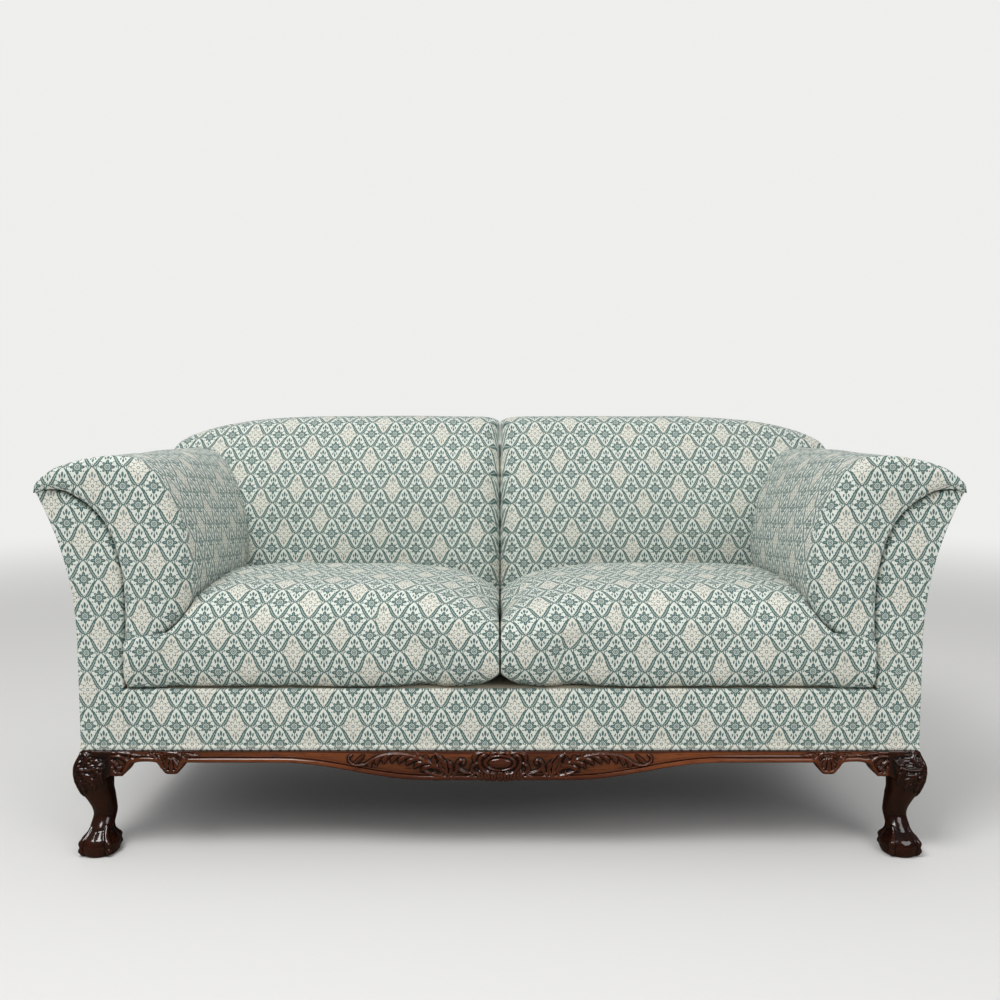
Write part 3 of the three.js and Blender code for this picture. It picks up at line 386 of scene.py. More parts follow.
# How tightly the front's inner edge turns, from the tip to the foot
TURN_PLACES = [0, 0.1, 0.3, 0.45, 0.6, 0.9, 1]
TURNS = [3, 9, 20, 30, 38, 30, 12]


def arm_pad(name, seed, flip):
    """The stuffed arm: a domed front, and a crown that runs to the back and, outside it, on to the rear."""
    shares = np.concatenate([np.linspace(0, 0.06, 8, endpoint=False),
                             np.linspace(0.06, 0.95, 110, endpoint=False), np.linspace(0.95, 1, 8)])
    crown = crown_curve(shares)
    step = int(np.argmax(crown[:, 0] < PASSES))
    near_step = np.interp([-PASSES - 0.4, 0.3 - PASSES], -crown[:step + 6, 0], shares[:step + 6])
    shares = np.insert(shares, step, near_step)
    crown = crown_curve(shares)
    seam = seam_curve(np.linspace(0, 1, 400))
    seam = even(seam[seam[:, 1] > PAD_LOW - 0.1], shares)
    run = run_along(crown_curve(np.linspace(0, 1, 200)))[-1]
    rings, fronts, cloth = [], [], []
    for k, share in enumerate(shares):
        width = float(np.linalg.norm(crown[k] - seam[k]))
        turn = min(np.interp(share, TURN_PLACES, TURNS), width * 0.6)
        outer = crown[k, 0] > PASSES
        near = float(back_face(crown[k, 1])) - 1
        far = FRAME_REAR + float(back_shift(max(crown[k, 1], 660))) - 1 if outer else near
        fold, bulge = min(19, width * 0.36), 7 * min(1, width / 60)
        ring, way = arm_ring(seam[k], crown[k], fold, turn, bulge, (near, far))
        skin = ring[FRONT_POINTS:FRONT_POINTS + SKIN_POINTS]
        wave = 1.8 * uneven(skin, 170, seed) * np.clip((skin[:, 1] - PAD_FRONT) / 90, 0, 1)
        dip = 0 if outer else 4.5 * np.exp(-np.abs(skin[:, 1] - near) / 6)
        calm = min(1, width / 50) * min(1, (1 - share) / 0.04)
        skin[:, 0] += way[0] * (wave - dip) * calm
        skin[:, 2] += way[1] * (wave - dip) * calm
        ring = np.vstack([ring, ring[:1]])
        steps = run_along(ring)
        flat = steps[:FRONT_POINTS] - steps[FRONT_MIDDLE]
        flat = flat + np.linalg.norm(ring[FRONT_MIDDLE, [0, 2]] - seam[k])
        rings.append(ring)
        fronts.append(seam[k] + way * flat[:, None])
        behind = steps[FRONT_POINTS - 1:] - steps[FRONT_POINTS - 1]
        cloth.append(np.column_stack([-behind, (1 - share) * run + 0.1 * behind]))
    rings = np.array(rings)
    upright_at = int(np.argmin(crown[:, 0]))
    cloth = np.array(cloth) + fronts[upright_at][-1] - [0, (1 - shares[upright_at]) * run]
    sides = [panel(rings[:, :FRONT_POINTS], fronts), panel(rings[:, FRONT_POINTS - 1:], cloth)]
    return sew(name, handed(sides, flip), 60)


# The back's top is level to the shoulder, falls to its outer end, and dips at the middle seam.
SHOULDER = 420.0
SHOULDER_FALL = 84.0
MIDDLE_DIP = 15.0


def back_top(x):
    t = np.clip((x - SHOULDER) / (BACK_HALF - SHOULDER), 0, 1)
    return BACK_TOP - SHOULDER_FALL * (1 - np.sqrt(1 - t * t)) - MIDDLE_DIP * np.exp(-x / 17)


# The tight back's section from the seat up: shares of its height, and of its depth behind its leaning face
BACK_RISE = np.concatenate([np.linspace(0, 0.86, 15), [0.925, 0.968, 0.99, 1, 0.996, 0.975, 0.93]])
BACK_ROLL = np.array([0.365, 0.42, 0.5, 0.65, 0.8, 0.935, 0.995])


def back_pad(name, seed, flip):
    """Half of the tight back: a leaning front, a rolled top and a deep seam in the middle."""
    stations = np.concatenate([[0.9, 2, 3.5, 5.5, 8, 11, 15, 20, 26, 34, 44, 56], np.linspace(70, 780, 70),
                               [788, 794, 799, 803, 806.5, 809, 810.8, 811.8, BACK_HALF]])
    face_count = len(BACK_RISE) - len(BACK_ROLL)
    rings, cloth = [], []
    for x in stations:
        height = back_top(x) - SEAT_BASE
        z = SEAT_BASE + BACK_RISE * height
        y = np.append(back_face(z[:face_count]), BACK_FRONT + BACK_ROLL * (BACK_REAR - BACK_FRONT))
        lip_z = min(max(BACK_LEDGE, z[-1] - 16), back_top(x) - 4)
        ledge = min(BACK_LEDGE, lip_z)
        curve = np.column_stack([np.append(y, BACK_REAR - 0.3), np.append(z, lip_z)])
        curve = spline(curve, np.linspace(0, 1, 104))
        share = (curve[:, 1] - SEAT_BASE) / height
        front = np.clip((300 - curve[:, 0]) / 80, 0, 1)
        gather = 1 + 0.10 * np.sin(curve[:, 1] * 0.27 + seed) + 0.07 * np.sin(curve[:, 1] * 0.113 + 2 * seed)
        pull = 46 * np.exp(-x / 15) * gather + 5 * np.exp(-x / 60)
        crown = 14 * (1 - ((x - 400) / 412) ** 2) * np.sin(math.pi * np.clip((share - 0.2) / 0.8, 0, 1))
        end = max(0.0, (x - 780) / (BACK_HALF - 780))
        tuck = 15 * (1 - math.sqrt(max(0.0, 1 - end * end)))
        wave = 2.2 * uneven(np.column_stack([np.full(len(curve), x), curve]), 190, seed) * min(1, x / 60)
        curve[:, 0] += (pull - crown + tuck + wave) * front
        crest = np.clip((curve[:, 1] - 790) / 30, 0, 1)
        curve[:, 1] -= (tuck * 0.7 + 0.4 * wave) * crest * (1 - front * 0.5)
        inside = np.array([[BACK_REAR - 4, ledge], [302, ledge], [302, 700], [218, 560], [204, SEAT_BASE]])
        ring = np.vstack([curve, inside[:1], even(inside[0:2], np.linspace(0, 1, 6))[1:],
                          even(inside[1:3], [0.5, 1]), even(inside[2:4], [0.25, 0.5, 0.75, 1]),
                          even(inside[3:], [0.25, 0.5, 0.75, 1])])
        line = np.column_stack([np.full(len(ring), x), ring])
        line = np.vstack([line, line[:1]])
        steps = run_along(ring)
        rings.append(line)
        cloth.append(np.column_stack([np.full(len(line), x), np.append(steps, steps[-1] + 90)]))
    return sew(name, handed([panel(rings, cloth)], flip), 60)


CUSHION_LEFT, CUSHION_RIGHT = 3.0, 723.4
CUSHION_FRONT, CUSHION_REAR = -364.6, 100.8
# The cushion's height at its ends as a share of its crown, the width over which it rises, and its cut height
END_RISE = 112 / 190.7
CROWN_WIDE = 250.0
CUT_HEIGHT = 184.0
# Points round the cushion, and the foremost of them
AROUND = 121
FOREMOST = 60
SWELL_PRESSURE = 4.0
SWELL_MOST = 26.0


def cushion(name, seed, flip):
    """A loose seat cushion, cut a little small and blown up, then pressed by what stands round it."""
    wide = CUSHION_RIGHT - CUSHION_LEFT
    angle = np.linspace(0, 2 * math.pi, 361)
    c, s = np.cos(angle), np.sin(angle)
    up = s >= 0
    rings, cloth = [], []
    for share in crowded(58, 9, 0.0556):
        across = share * wide
        inwards = np.minimum(1, np.array([across, wide - across]) / CROWN_WIDE)
        rise = (END_RISE + (1 - END_RISE) * np.sqrt(1 - (1 - inwards) ** 2)).min()
        end = min(1.0, min(share, 1 - share) / 0.04)
        draw = 13 * (1 - math.sqrt(1 - (1 - end) ** 2))
        low = SEAT_BASE + 0.6 + 14 * max(0, 1 - share / 0.333) ** 2 + draw / 2
        top = SEAT_BASE + CUT_HEIGHT * rise - draw / 2
        middle = low + 0.42 * (top - low)
        half = (CUSHION_REAR - CUSHION_FRONT) / 2 - draw - 3
        y = np.sign(c) * np.abs(c) ** np.where(up, 0.34, 0.3) * half
        y = y + (CUSHION_REAR + CUSHION_FRONT) / 2 + 1
        z = middle + np.where(up, (top - middle) * np.abs(s) ** 0.62, -(middle - low) * np.abs(s) ** 0.42)
        ring = even(np.column_stack([y, z]), np.linspace(0, 1, AROUND))
        x = np.full(AROUND, CUSHION_LEFT + 1 + share * (wide - 2))
        steps = run_along(ring)
        rings.append(np.column_stack([x, ring]))
        cloth.append(np.column_stack([x, ring[FOREMOST, 1] + steps[FOREMOST] - steps]))
    sides = [panel(rings, cloth)]
    for ring, way in ((rings[0], -1), (rings[-1], 1)):
        upper, lower = ring[:FOREMOST + 1], ring[FOREMOST:][::-1]
        cap = between(upper, lower, np.linspace(0, 1, 9))
        sides.append(panel(cap, np.stack([cap[..., 1] * way, cap[..., 2]], 2)))
    mesh = sew(name, sides, 180)
    swell(mesh, SWELL_PRESSURE, SWELL_MOST)
    spots = rest_cushion(filled(places_of(mesh)), seed)
    put_places(mesh, spots * [-1, 1, 1] if flip else spots)
    if flip:
        mesh.flip_normals()
        turn_cloth(mesh)
    return mesh


def turn_cloth(mesh):
    """The left cushion's print runs on from the right one's, so its places are mirrored back."""
    places = mesh.attributes["cloth"]
    laid = np.zeros(len(places.data) * 3)
    places.data.foreach_get("vector", laid)
    laid = laid.reshape(-1, 3)
    laid[:, 0] *= -1
    places.data.foreach_set("vector", laid.ravel())


def filled(spots):
    """Brings the swollen cushion back to the room it fills, whatever the swelling drew in."""
    low, high = spots.min(0), spots.max(0)
    room_low = np.array([CUSHION_LEFT - 10, CUSHION_FRONT - 3, SEAT_BASE - 9])
    room_high = np.array([CUSHION_RIGHT + 7, CUSHION_REAR + 10, SEAT_BASE + 196])
    return room_low + (spots - low) / (high - low) * (room_high - room_low)


def soft_cap(value, limit, soft):
    """Keeps value below the limit, easing into it over `soft`."""
    over = np.maximum(0, value - (limit - soft))
    return np.where(over > 0, limit - soft + soft * np.tanh(over / soft), value)


OPEN = 1e4


def rest_cushion(spots, seed):
    """Presses a cushion on to the deck, under the arm's roll and between its neighbours."""
    x, y, z = spots.T.copy()
    low = np.clip((405 - z) / 75, 0, 1)
    x = x + 16 * low * np.clip((x - 640) / 70, 0, 1) - 4 * low * np.clip((60 - x) / 50, 0, 1)
    z = z - (24 - 16 * np.clip((150 - x) / 150, 0, 1) ** 2) * low
    z = z + 1.6 * uneven(spots, 150, seed) * np.clip((z - 380) / 60, 0, 1)
    y = y - 1.5 * uneven(spots, 120, seed + 5) * np.clip((-200 - y) / 80, 0, 1)
    z = -soft_cap(-z, -(SEAT_BASE + 0.5), 3)
    y = soft_cap(y, CUSHION_REAR, 4)
    y = -soft_cap(-y, -(CUSHION_FRONT - 8), 10)
    x = soft_cap(x, CUSHION_RIGHT, 3)
    x = -soft_cap(-x, -1.6, 3)
    crown = crown_curve(np.linspace(0, 1, 400))
    under = crown[np.argmin(crown[:, 0]):]
    roof = np.interp(x, under[:, 0], under[:, 1], left=OPEN, right=under[-1, 1]) - 2.0
    roof = np.where(y > PAD_FRONT - 4, roof, OPEN)
    z = np.where(z > roof - 8, soft_cap(z, roof, 8), z)
    return np.column_stack([x, y, z])


# Covers and cloths

def facing_panels(flip):
    """The arm's front cover, between the outer side and the seam, up to the tip."""
    rows = crowded(70, 5, 0.03)
    seam = seam_curve(np.linspace(0, 1, 400))[::-1]
    seam = even(seam[seam[:, 1] >= COVER_BOTTOM], rows)
    seam[0] = (SEAM_FOOT, COVER_BOTTOM)
    z = np.linspace(COVER_BOTTOM, TIP[1], 300)
    outer = even(np.column_stack([arm_outside(z), z]), rows)
    grid = between(seam, outer, crowded(16, 5, 0.12))
    points = np.stack([grid[..., 0], np.full(grid.shape[:2], COVER_FRONT), grid[..., 1]], 2)
    return handed([panel(points, grid)], flip)


def level(xs, ys, z, pitch=14):
    """A level grid of points from the lowest x and y to the highest."""
    count = [max(2, int((r[1] - r[0]) / pitch)) for r in (xs, ys)]
    x, y = np.meshgrid(np.linspace(*xs, count[0]), np.linspace(*ys, count[1]), indexing="ij")
    return panel(np.stack([x, y, np.full_like(x, z)], 2), np.stack([x, y], 2))


def upright(x_shares, z_shares, xs, zs, y):
    """An upright grid of points at one depth, at the given shares of its width and height."""
    x = xs[0] + (xs[1] - xs[0]) * x_shares
    z = zs[0] + (zs[1] - zs[0]) * z_shares
    x, z = np.meshgrid(x, z, indexing="ij")
    return panel(np.stack([x, np.full_like(x, y), z], 2), np.stack([x, z], 2))


def straight(*way):
    """Every point of a cover faces the same way."""
    return lambda points: np.tile(np.array(way, float), (len(points), 1))


def outside_arm_panels(flip):
    """The arm's outer side, from its front cover back to the rear of the frame."""
    y = crowded(60, 4, 0.01)
    z = COVER_BOTTOM + (TIP[1] - COVER_BOTTOM) * y
    rear = FRAME_REAR + back_shift(z)
    depth = FRAME_FRONT * (1 - y)[:, None] + rear[None] * y[:, None]
    x = np.repeat(arm_outside(z)[None], len(y), 0)
    run = np.repeat(run_along(np.column_stack([arm_outside(z), z]))[None], len(y), 0)
    grid = np.stack([x, depth, np.repeat(z[None], len(y), 0)], 2)
    return handed([panel(grid, np.stack([depth, run], 2))], flip)


def facing_edge(points):
    """Rounding of the arm's front cover: deep along the pad's seam, tight where the border meets it."""
    x, z = np.abs(points[:, 0]), points[:, 2]
    inner = np.clip((arm_outside(z) - x - 25) / 20, 0, 1)
    return 2.5 + inner * (11 * np.clip((z - 330) / 25, 0, 1) - 1.9)


def border_edge(points):
    """Rounding of the front border: full along its top, tight where the arm covers meet it."""
    high = np.clip((points[:, 2] - 300) / 18, 0, 1)
    return 0.6 + 3 * high * np.clip((728 - np.abs(points[:, 0])) / 12, 0, 1)


def arm_normal(flip):
    """The arm's outer side faces outwards and, where it flares, downwards too."""
    def out(points):
        slope = (arm_outside(points[:, 2] + 1) - arm_outside(points[:, 2] - 1)) / 2
        return np.column_stack([np.full(len(points), -1.0 if flip else 1.0), 0 * slope, -slope])
    return out


def outside_back_panels():
    """The back's outer cover: a leaning sheet whose wings reach out to the arm tips and up to the pads."""
    shoulder, rows = 797.7, 44
    up = np.linspace(0, 1, rows)
    seam = seam_curve(np.linspace(0, 1, 400))
    z_seam = float(np.interp(-shoulder, -seam[:, 0], seam[:, 1]))
    low = COVER_BOTTOM + (z_seam - COVER_BOTTOM) * up
    high = np.linspace(z_seam, BACK_FRAME_TOP, 12)
    across = np.linspace(-shoulder, shoulder, 120)
    sheets = [np.meshgrid(across, zs, indexing="ij") for zs in (low, high)]
    z_out = COVER_BOTTOM + (TIP[1] - COVER_BOTTOM) * up
    inner = np.column_stack([np.full(rows, shoulder), low])
    outer = np.column_stack([arm_outside(z_out), z_out])
    wing = between(inner, outer, np.linspace(0, 1, 9))
    rim = wing[-1]
    seam_top = np.interp(-rim[:, 0], -seam[:, 0], seam[:, 1])
    wing[..., 1] += (seam_top - rim[:, 1])[None] * up[:, None] ** 10
    crown = crown_curve(np.linspace(0, 1, 400))[:160]
    rise = np.maximum(np.interp(-rim[:, 0], -crown[:, 0], crown[:, 1]) - 3, rim[:, 1])
    rise[0], rise[-1] = BACK_FRAME_TOP, rim[-1, 1]
    over = between(rim, np.column_stack([rim[:, 0], rise]), np.linspace(0, 1, 12)).transpose(1, 0, 2)
    for part in (wing, over):
        sheets += [(part[..., 0], part[..., 1]), (-part[..., 0], part[..., 1])]
    return [panel(np.stack([x, COVER_REAR + back_shift(z), z], 2), np.stack([-x, z], 2))
            for x, z in sheets]


def lining_panels(flip):
    """The lining low on the arm's inner side, hidden by the cushion."""
    y, z = np.meshgrid(np.linspace(FRAME_FRONT, BACK_FRONT + 0.4, 50),
                       np.linspace(SEAT_BASE, PAD_LOW - 0.3, 12), indexing="ij")
    return handed([panel(np.stack([np.full_like(y, LINING), y, z], 2), np.stack([y, z], 2))], flip)


def bottom_panels():
    """The dust cover under the frame, cut out at its four corners for the legs."""
    rear, half, height, pitch = FRAME_REAR - 0.3, FRAME_HALF - 0.3, 209.6, 19
    front_notch, rear_notch = -280.0, rear - 40
    panels = []
    for low, high in ((RAIL_BACK + 0.2, front_notch), (front_notch, rear_notch), (rear_notch, rear)):
        panels.append(level((-RAIL_HALF, RAIL_HALF), (low, high), height, pitch))
        if low == front_notch:
            panels.append(level((RAIL_HALF, half), (low, high), height, pitch))
            panels.append(level((-half, -RAIL_HALF), (low, high), height, pitch))
    return panels


# Carved show-wood

def carved(x, z, points, widths, height, vein=0.0, lobes=0):
    """Relief of one leaf, stem or scroll laid along points, with a width that runs through `widths`."""
    shares = np.linspace(0, 1, 70)
    line = spline(points, shares)
    wide = np.interp(shares, np.linspace(0, 1, len(widths)), widths)
    wide = wide * (1 + 0.2 * np.sin(shares * lobes * 2 * math.pi))
    low, high = line.min(0) - wide.max(), line.max(0) + wide.max()
    near = (x > low[0]) & (x < high[0]) & (z > low[1]) & (z < high[1])
    relief = np.zeros(x.shape)
    if near.any():
        gap = np.hypot(x[near][:, None] - line[:, 0], z[near][:, None] - line[:, 1])
        ratio = np.minimum(1, (gap / wide).min(1))
        body = height * (0.45 * (1 - ratio) + 0.55 * np.sqrt(1 - ratio ** 2))
        groove = vein * np.exp(-(gap.min(1) / 0.7) ** 2)
        relief[near] = np.maximum(0, body - groove)
    return relief


def frond(stem, places, long, wide, side, height, spread=1.0):
    """Blades that leave a stem at the given shares of its length and curl away from it."""
    along = spline(stem, np.linspace(0, 1, 101))
    blades = []
    for k, place in enumerate(places):
        at = along[int(place * 96)]
        way = along[int(place * 96) + 4] - at
        way = way / np.linalg.norm(way)
        reach = long * (1 - 0.5 * k / len(places))
        points = [at]
        for step, degrees in ((0.34, 22), (0.36, 44), (0.36, 74)):
            turn = math.radians(degrees * spread) * side
            swung = np.array([way[0] * math.cos(turn) - way[1] * math.sin(turn),
                              way[0] * math.sin(turn) + way[1] * math.cos(turn)])
            points.append(points[-1] + swung * step * reach)
        thick = wide * (1 - 0.35 * k / len(places))
        high = height * (1 - 0.25 * k / len(places))
        blades.append((points, [thick * 0.6, thick, thick * 0.85, 0.6], high, 0.8, 2))
    return blades


def scaled(x, z, wide, tall, height, slim, middle):
    """Relief of small overlapping scales in staggered rows."""
    row = np.floor(z / tall)
    off = (x / wide + 0.5 * (row % 2)) % 1 - 0.5
    up = z / tall - row - middle
    return height * np.sqrt(np.maximum(0, 1 - (off * slim[0]) ** 2 - (up * slim[1]) ** 2))


def knob(x, z, at, radii, height):
    """Relief of one oval boss."""
    away = np.hypot((x - at[0]) / radii[0], (z - at[1]) / radii[1])
    return height * np.sqrt(np.maximum(0, 1 - away ** 2))


# The rail's depth in the middle and where it is slim, and where the sweep between them starts and ends
RAIL_DEEP, RAIL_SLIM = 58, 23
SWEEP_FROM, SWEEP_TO = 138, 430
# Lobes under the rail: place, half of the flat, half of the width, and added depth
SHELL_AT = 638
LOBES = ((0, 0, 48, 3), (SHELL_AT, 4, 28, 23), (687, 0, 25, -2))
# The ear beside the leg: where it starts, its width and its added depth
EAR_FROM, EAR_WIDE, EAR_DEEP = 710, 26, 27


def rail_drop(x):
    """How far the rail's lower edge hangs below its top, by the distance from the middle."""
    sweep = np.clip((x - SWEEP_FROM) / (SWEEP_TO - SWEEP_FROM), 0, 1)
    drop = RAIL_SLIM + (RAIL_DEEP - RAIL_SLIM) * (0.5 + 0.5 * np.cos(math.pi * sweep))
    for at, flat, half, more in LOBES:
        away = np.clip((np.abs(x - at) - flat) / (half - flat), 0, 1)
        drop = drop + more * (0.5 + 0.5 * np.cos(math.pi * away ** 1.5))
    ear = np.clip((x - EAR_FROM) / EAR_WIDE, 0, 1)
    return drop + EAR_DEEP * ear * ear * (3 - 2 * ear)


def both_sides(points, *rest):
    """A stroke beside the shell and its mirror image."""
    return [(points, *rest), ([(2 * SHELL_AT - x, drop) for x, drop in points], *rest)]


# Each leaf or scroll: places as distance from the middle and drop, widths, height, vein and lobes.
SPRAY_STEM = [(99, 46), (120, 33), (143, 20), (174, 9), (205, 6), (232, 10), (249, 18), (266, 27.5)]
SPRAY_FOOT = [(52, 46), (68, 53), (88, 54), (108, 52), (128, 47), (144, 40)]
LEAF_SPRAY = [
    (SPRAY_STEM + [(284, 27), (293, 20), (293, 11), (288, 8)],
     [4.4, 4.2, 3.8, 3.4, 3.0, 2.8, 2.6, 2.4, 2.0], 4.6, 0.5, 0),
    (SPRAY_FOOT + [(150, 33)], [2.6, 3.6, 4.2, 4.4, 3.6, 1.6], 4.6, 0.6, 0),
    ([(104, 47), (104, 36), (108, 26), (116, 14), (126, 4)], [3, 4.8, 5.2, 4, 0.6], 5.4, 1.1, 3),
    ([(98, 47), (95, 38), (97, 28), (102, 17)], [3, 4.4, 4.2, 0.6], 5.0, 1.0, 2),
    ([(92, 48), (86, 42), (84, 34), (87, 27)], [3, 3.8, 3, 0.6], 4.4, 0.8, 2),
    ([(56, 44), (68, 42), (80, 35), (83, 25), (76, 18), (69, 20), (70, 26)],
     [2, 3.2, 3.6, 3.4, 3.2, 2.8, 2], 4.8, 0.5, 0),
    ([(282, 24), (272, 16), (266, 9), (264, 3)], [2.2, 3.4, 2.6, 0.6], 3.8, 0.7, 0),
]
LEAF_SPRAY += frond(SPRAY_STEM, (0.16, 0.27, 0.38, 0.49, 0.6, 0.71, 0.82, 0.92), 34, 5.6, 1, 5.6)
LEAF_SPRAY += frond(SPRAY_STEM, (0.06, 0.15, 0.25, 0.36), 27, 4.8, -1, 5.2, 0.8)
LEAF_SPRAY += frond(SPRAY_FOOT, (0.45, 0.62, 0.8), 15, 3.8, -1, 4.4)
CARTOUCHE = [
    ([(12, 45), (25, 43), (35, 35), (40, 23), (37, 11), (28, 6)], [2, 3.4, 4, 4, 3.6, 3], 5.6, 0.0, 0),
    ([(22, 4), (36, 3), (47, 8), (50, 18), (46, 27)], [2, 3.4, 3.8, 3.2, 2], 5.0, 0.6, 2),
    ([(45, 24), (54, 31), (53, 41), (44, 45)], [2, 3.8, 3.6, 2.4], 5.0, 0.5, 2),
    ([(0, 5), (8, 3), (16, 6), (21, 13)], [2.6, 3.2, 2.8, 1], 4.6, 0.5, 0),
]
SHELL = [([(620, 9), (629, 4), (647, 4), (656, 9)], [2.6, 3.6, 3.6, 2.6], 4.8, 0.6, 2)]
SHELL += both_sides([(604, 7), (610, 18), (617, 29), (625, 35), (631, 30), (627, 24)],
                    [2.4, 3.8, 4.2, 4, 3.2, 2.4], 5.6, 0.4, 0)
SHELL += both_sides([(604, 8), (594, 9), (584, 8)], [2.8, 3, 0.6], 3.6, 0.6, 2)
EAR = [
    ([(752, 10), (739, 10), (726, 17), (719, 30), (724, 43), (735, 47), (742, 39), (736, 32)],
     [3, 3.8, 4.2, 4.2, 4, 3.4, 2.8, 2], 5.6, 0.5, 0),
    ([(699, 9), (712, 7), (730, 4), (752, 3)], [1.2, 3, 3.4, 3], 4.2, 0.8, 3),
    ([(753, 20), (746, 25), (742, 33)], [3.4, 4.4, 2], 5.0, 0.9, 2),
    ([(753, 32), (751, 41), (746, 49)], [3, 5, 2], 5.2, 1.0, 2),
    ([(722, 24), (711, 22), (701, 14)], [3.4, 4.2, 0.6], 4.6, 0.8, 2),
    ([(719, 34), (711, 32), (705, 25)], [3, 3.6, 0.6], 4.2, 0.8, 0),
]
# Each boss: place, half widths and height
KNOBS = [((0, 23.5), (23, 10), 6.0), ((71, 24), (3.8, 3.8), 5.0), ((29, 9), (4, 4), 5.4),
         ((738, 35), (4.4, 4.4), 5.8), ((628, 27), (4.2, 4.2), 6.0), ((648, 27), (4.2, 4.2), 6.0),
         ((SHELL_AT, 35), (5, 8), 5.2)]
# The bead and the fillet along the lower edge, as places up from it, and the scales over the shell
BEAD_UP, BEAD_RADIUS = 4.9, 4.8
FILLET_UP = 12.6
SCALE_TALL, SCALE_WIDE = 4.2, 6.4
# Scallops along the cartouche's lower edge
SCALLOP = 12.6


def rail_relief(x, drop, edge):
    """How far the carving stands from the rail's flat face."""
    lean = np.cos(np.arctan(np.gradient(edge[:, 0], x[:, 0])))[:, None]
    e = (edge - drop) * lean
    plain = np.clip((x - 40) / 10, 0, 1)
    bead = np.sqrt(np.maximum(0, BEAD_RADIUS ** 2 - (e - BEAD_UP) ** 2)) * plain
    fillet = 1.2 * np.exp(-((e - FILLET_UP) / 1.3) ** 2) * plain
    relief = np.maximum(bead, fillet)
    for points, widths, height, vein, lobes in LEAF_SPRAY + CARTOUCHE + SHELL + EAR:
        relief = np.maximum(relief, carved(x, drop, points, widths, height, vein, lobes))
    for at, radii, height in KNOBS:
        relief = np.maximum(relief, knob(x, drop, at, radii, height))
    ring = np.hypot(x / 29, (drop - 23.5) / 14.5)
    relief = np.maximum(relief, 4.2 * np.sqrt(np.maximum(0, 1 - ((ring - 1) * 7.5) ** 2)))
    for k in range(4):
        scallop = knob(x, drop, (k * SCALLOP, 49.5 - 0.8 * k), (7.2, 10.5), 5.0)
        groove = 1.6 * np.exp(-((x - k * SCALLOP) / 1.2) ** 2) * (scallop > 0)
        relief = np.maximum(relief, scallop - groove)
    r, turn = np.hypot(x - SHELL_AT, drop - 7), np.arctan2(x - SHELL_AT, drop - 7)
    fan = 1.4 + 3.4 * np.abs(np.cos(turn * 6.5))
    fan = fan * np.clip((r - 5) / 4, 0, 1) * np.clip((28 - r) / 3, 0, 1)
    relief = np.maximum(relief, fan * (np.abs(turn) < 0.85))
    scales = scaled(x, drop, SCALE_WIDE, SCALE_TALL, 1.8, (2.1, 1.5), 0.35)
    relief = np.maximum(relief, scales * ((x > 596) & (x < 680) & (drop < 13)))
    return relief - 1.4 * np.exp(-e / 0.7)


def rail_mesh():
    """The carved rail: a fine grid for its face, with the tongue behind it that the border is nailed to."""
    half = np.linspace(0, RAIL_HALF, 760)
    edge = rail_drop(half)
    notch = 2.2 * (1 - np.abs(np.cos(math.pi * half / SCALLOP))) ** 2
    edge = edge - notch * np.clip((40 - half) / 6, 0, 1)
    rows = np.concatenate([np.linspace(0, 0.3, 22, endpoint=False), np.linspace(0.3, 1, 34)])
    x = np.repeat(half[:, None], len(rows), 1)
    edge = np.repeat(edge[:, None], len(rows), 1)
    drop = edge * (1 - rows)[None]
    face = RAIL_FACE - rail_relief(x, drop, edge)
    x = np.concatenate([-x[:0:-1], x])
    face, drop = (np.concatenate([part[:0:-1], part]) for part in (face, drop))
    front = np.stack([x, face, LEG_HEIGHT - drop], 2)
    low, top = front[:, 0, 2], front[:, -1]
    step, tongue = LEG_HEIGHT + 10, RAIL_BACK + 10
    stops = [(RAIL_BACK, low), (RAIL_BACK, step), (tongue, step), (tongue, SEAT_FRAME_TOP),
             (FRAME_FRONT, SEAT_FRAME_TOP), (FRAME_FRONT, LEG_HEIGHT)]
    ring = [np.column_stack([x[:, 0], np.full(len(x), y), np.broadcast_to(z, len(x))]) for y, z in stops]
    ring = np.stack([front[:, 0]] + ring + [top], 1)[:, ::-1]
    sides = [panel(front, front[..., [0, 2]]), panel(ring, ring[..., [0, 2]])]
    # The hollows are marked for dark polish and painted shade.
    return hollows(sew("carved_front_rail", sides, 70), 6, 0.5)


def hollows(mesh, passes, depth):
    """Marks hollows and high places: polish gathers in the hollows, which are also darkened there as painted
    shade, and wears off the high places.
    """
    spots = places_of(mesh)
    ends = np.zeros(len(mesh.edges) * 2, np.int32)
    mesh.edges.foreach_get("vertices", ends)
    a, b = ends.reshape(-1, 2).T
    count = np.bincount(np.concatenate([a, b]), minlength=len(spots))[:, None]
    normals = np.zeros(len(spots) * 3)
    mesh.vertex_normals.foreach_get("vector", normals)
    here, there = np.concatenate([a, b]), np.concatenate([b, a])
    soft, sunk = spots, 0
    for step in range(passes * 5):
        total = np.stack([np.bincount(here, soft[there, k], len(spots)) for k in range(3)], 1)
        soft = soft * 0.4 + 0.6 * total / np.maximum(count, 1)
        if step + 1 in (passes, passes * 5):
            out = ((soft - spots) * normals.reshape(-1, 3)).sum(1)
            sunk = sunk + out / (depth * (1 + step / passes / 2))
    # The hollow mark darkens the timber's hollows: partly dark polish, partly painted shade.
    mark = mesh.attributes.new("hollow", "FLOAT", "POINT")
    mark.data.foreach_set("value", np.clip(sunk, -1, 1).astype(np.float32))
    return mesh


# The leg's rows: share of its height, how far it leans out, its half width as a share, and how square it is
LEG_ROWS = [[0.15, 0.5, 0.5, 0], [0.245, 0.15, 0.6, 0], [0.32, 0, 0.585, 0], [0.417, 0.12, 0.62, 0.05],
            [0.5, 0.36, 0.69, 0.1], [0.598, 0.68, 0.82, 0.12], [0.716, 0.86, 0.92, 0.2],
            [0.82, 0.86, 0.93, 0.3], [0.897, 0.62, 0.88, 0.5], [1, 0.2, 0.78, 0.8]]
LEG_HALF = 38.5
KNEE_LEAN = np.array([17.0, -14.44])
ANKLE = np.array([781.05, -322.46])
BALL = np.array([784.3, -347.5])
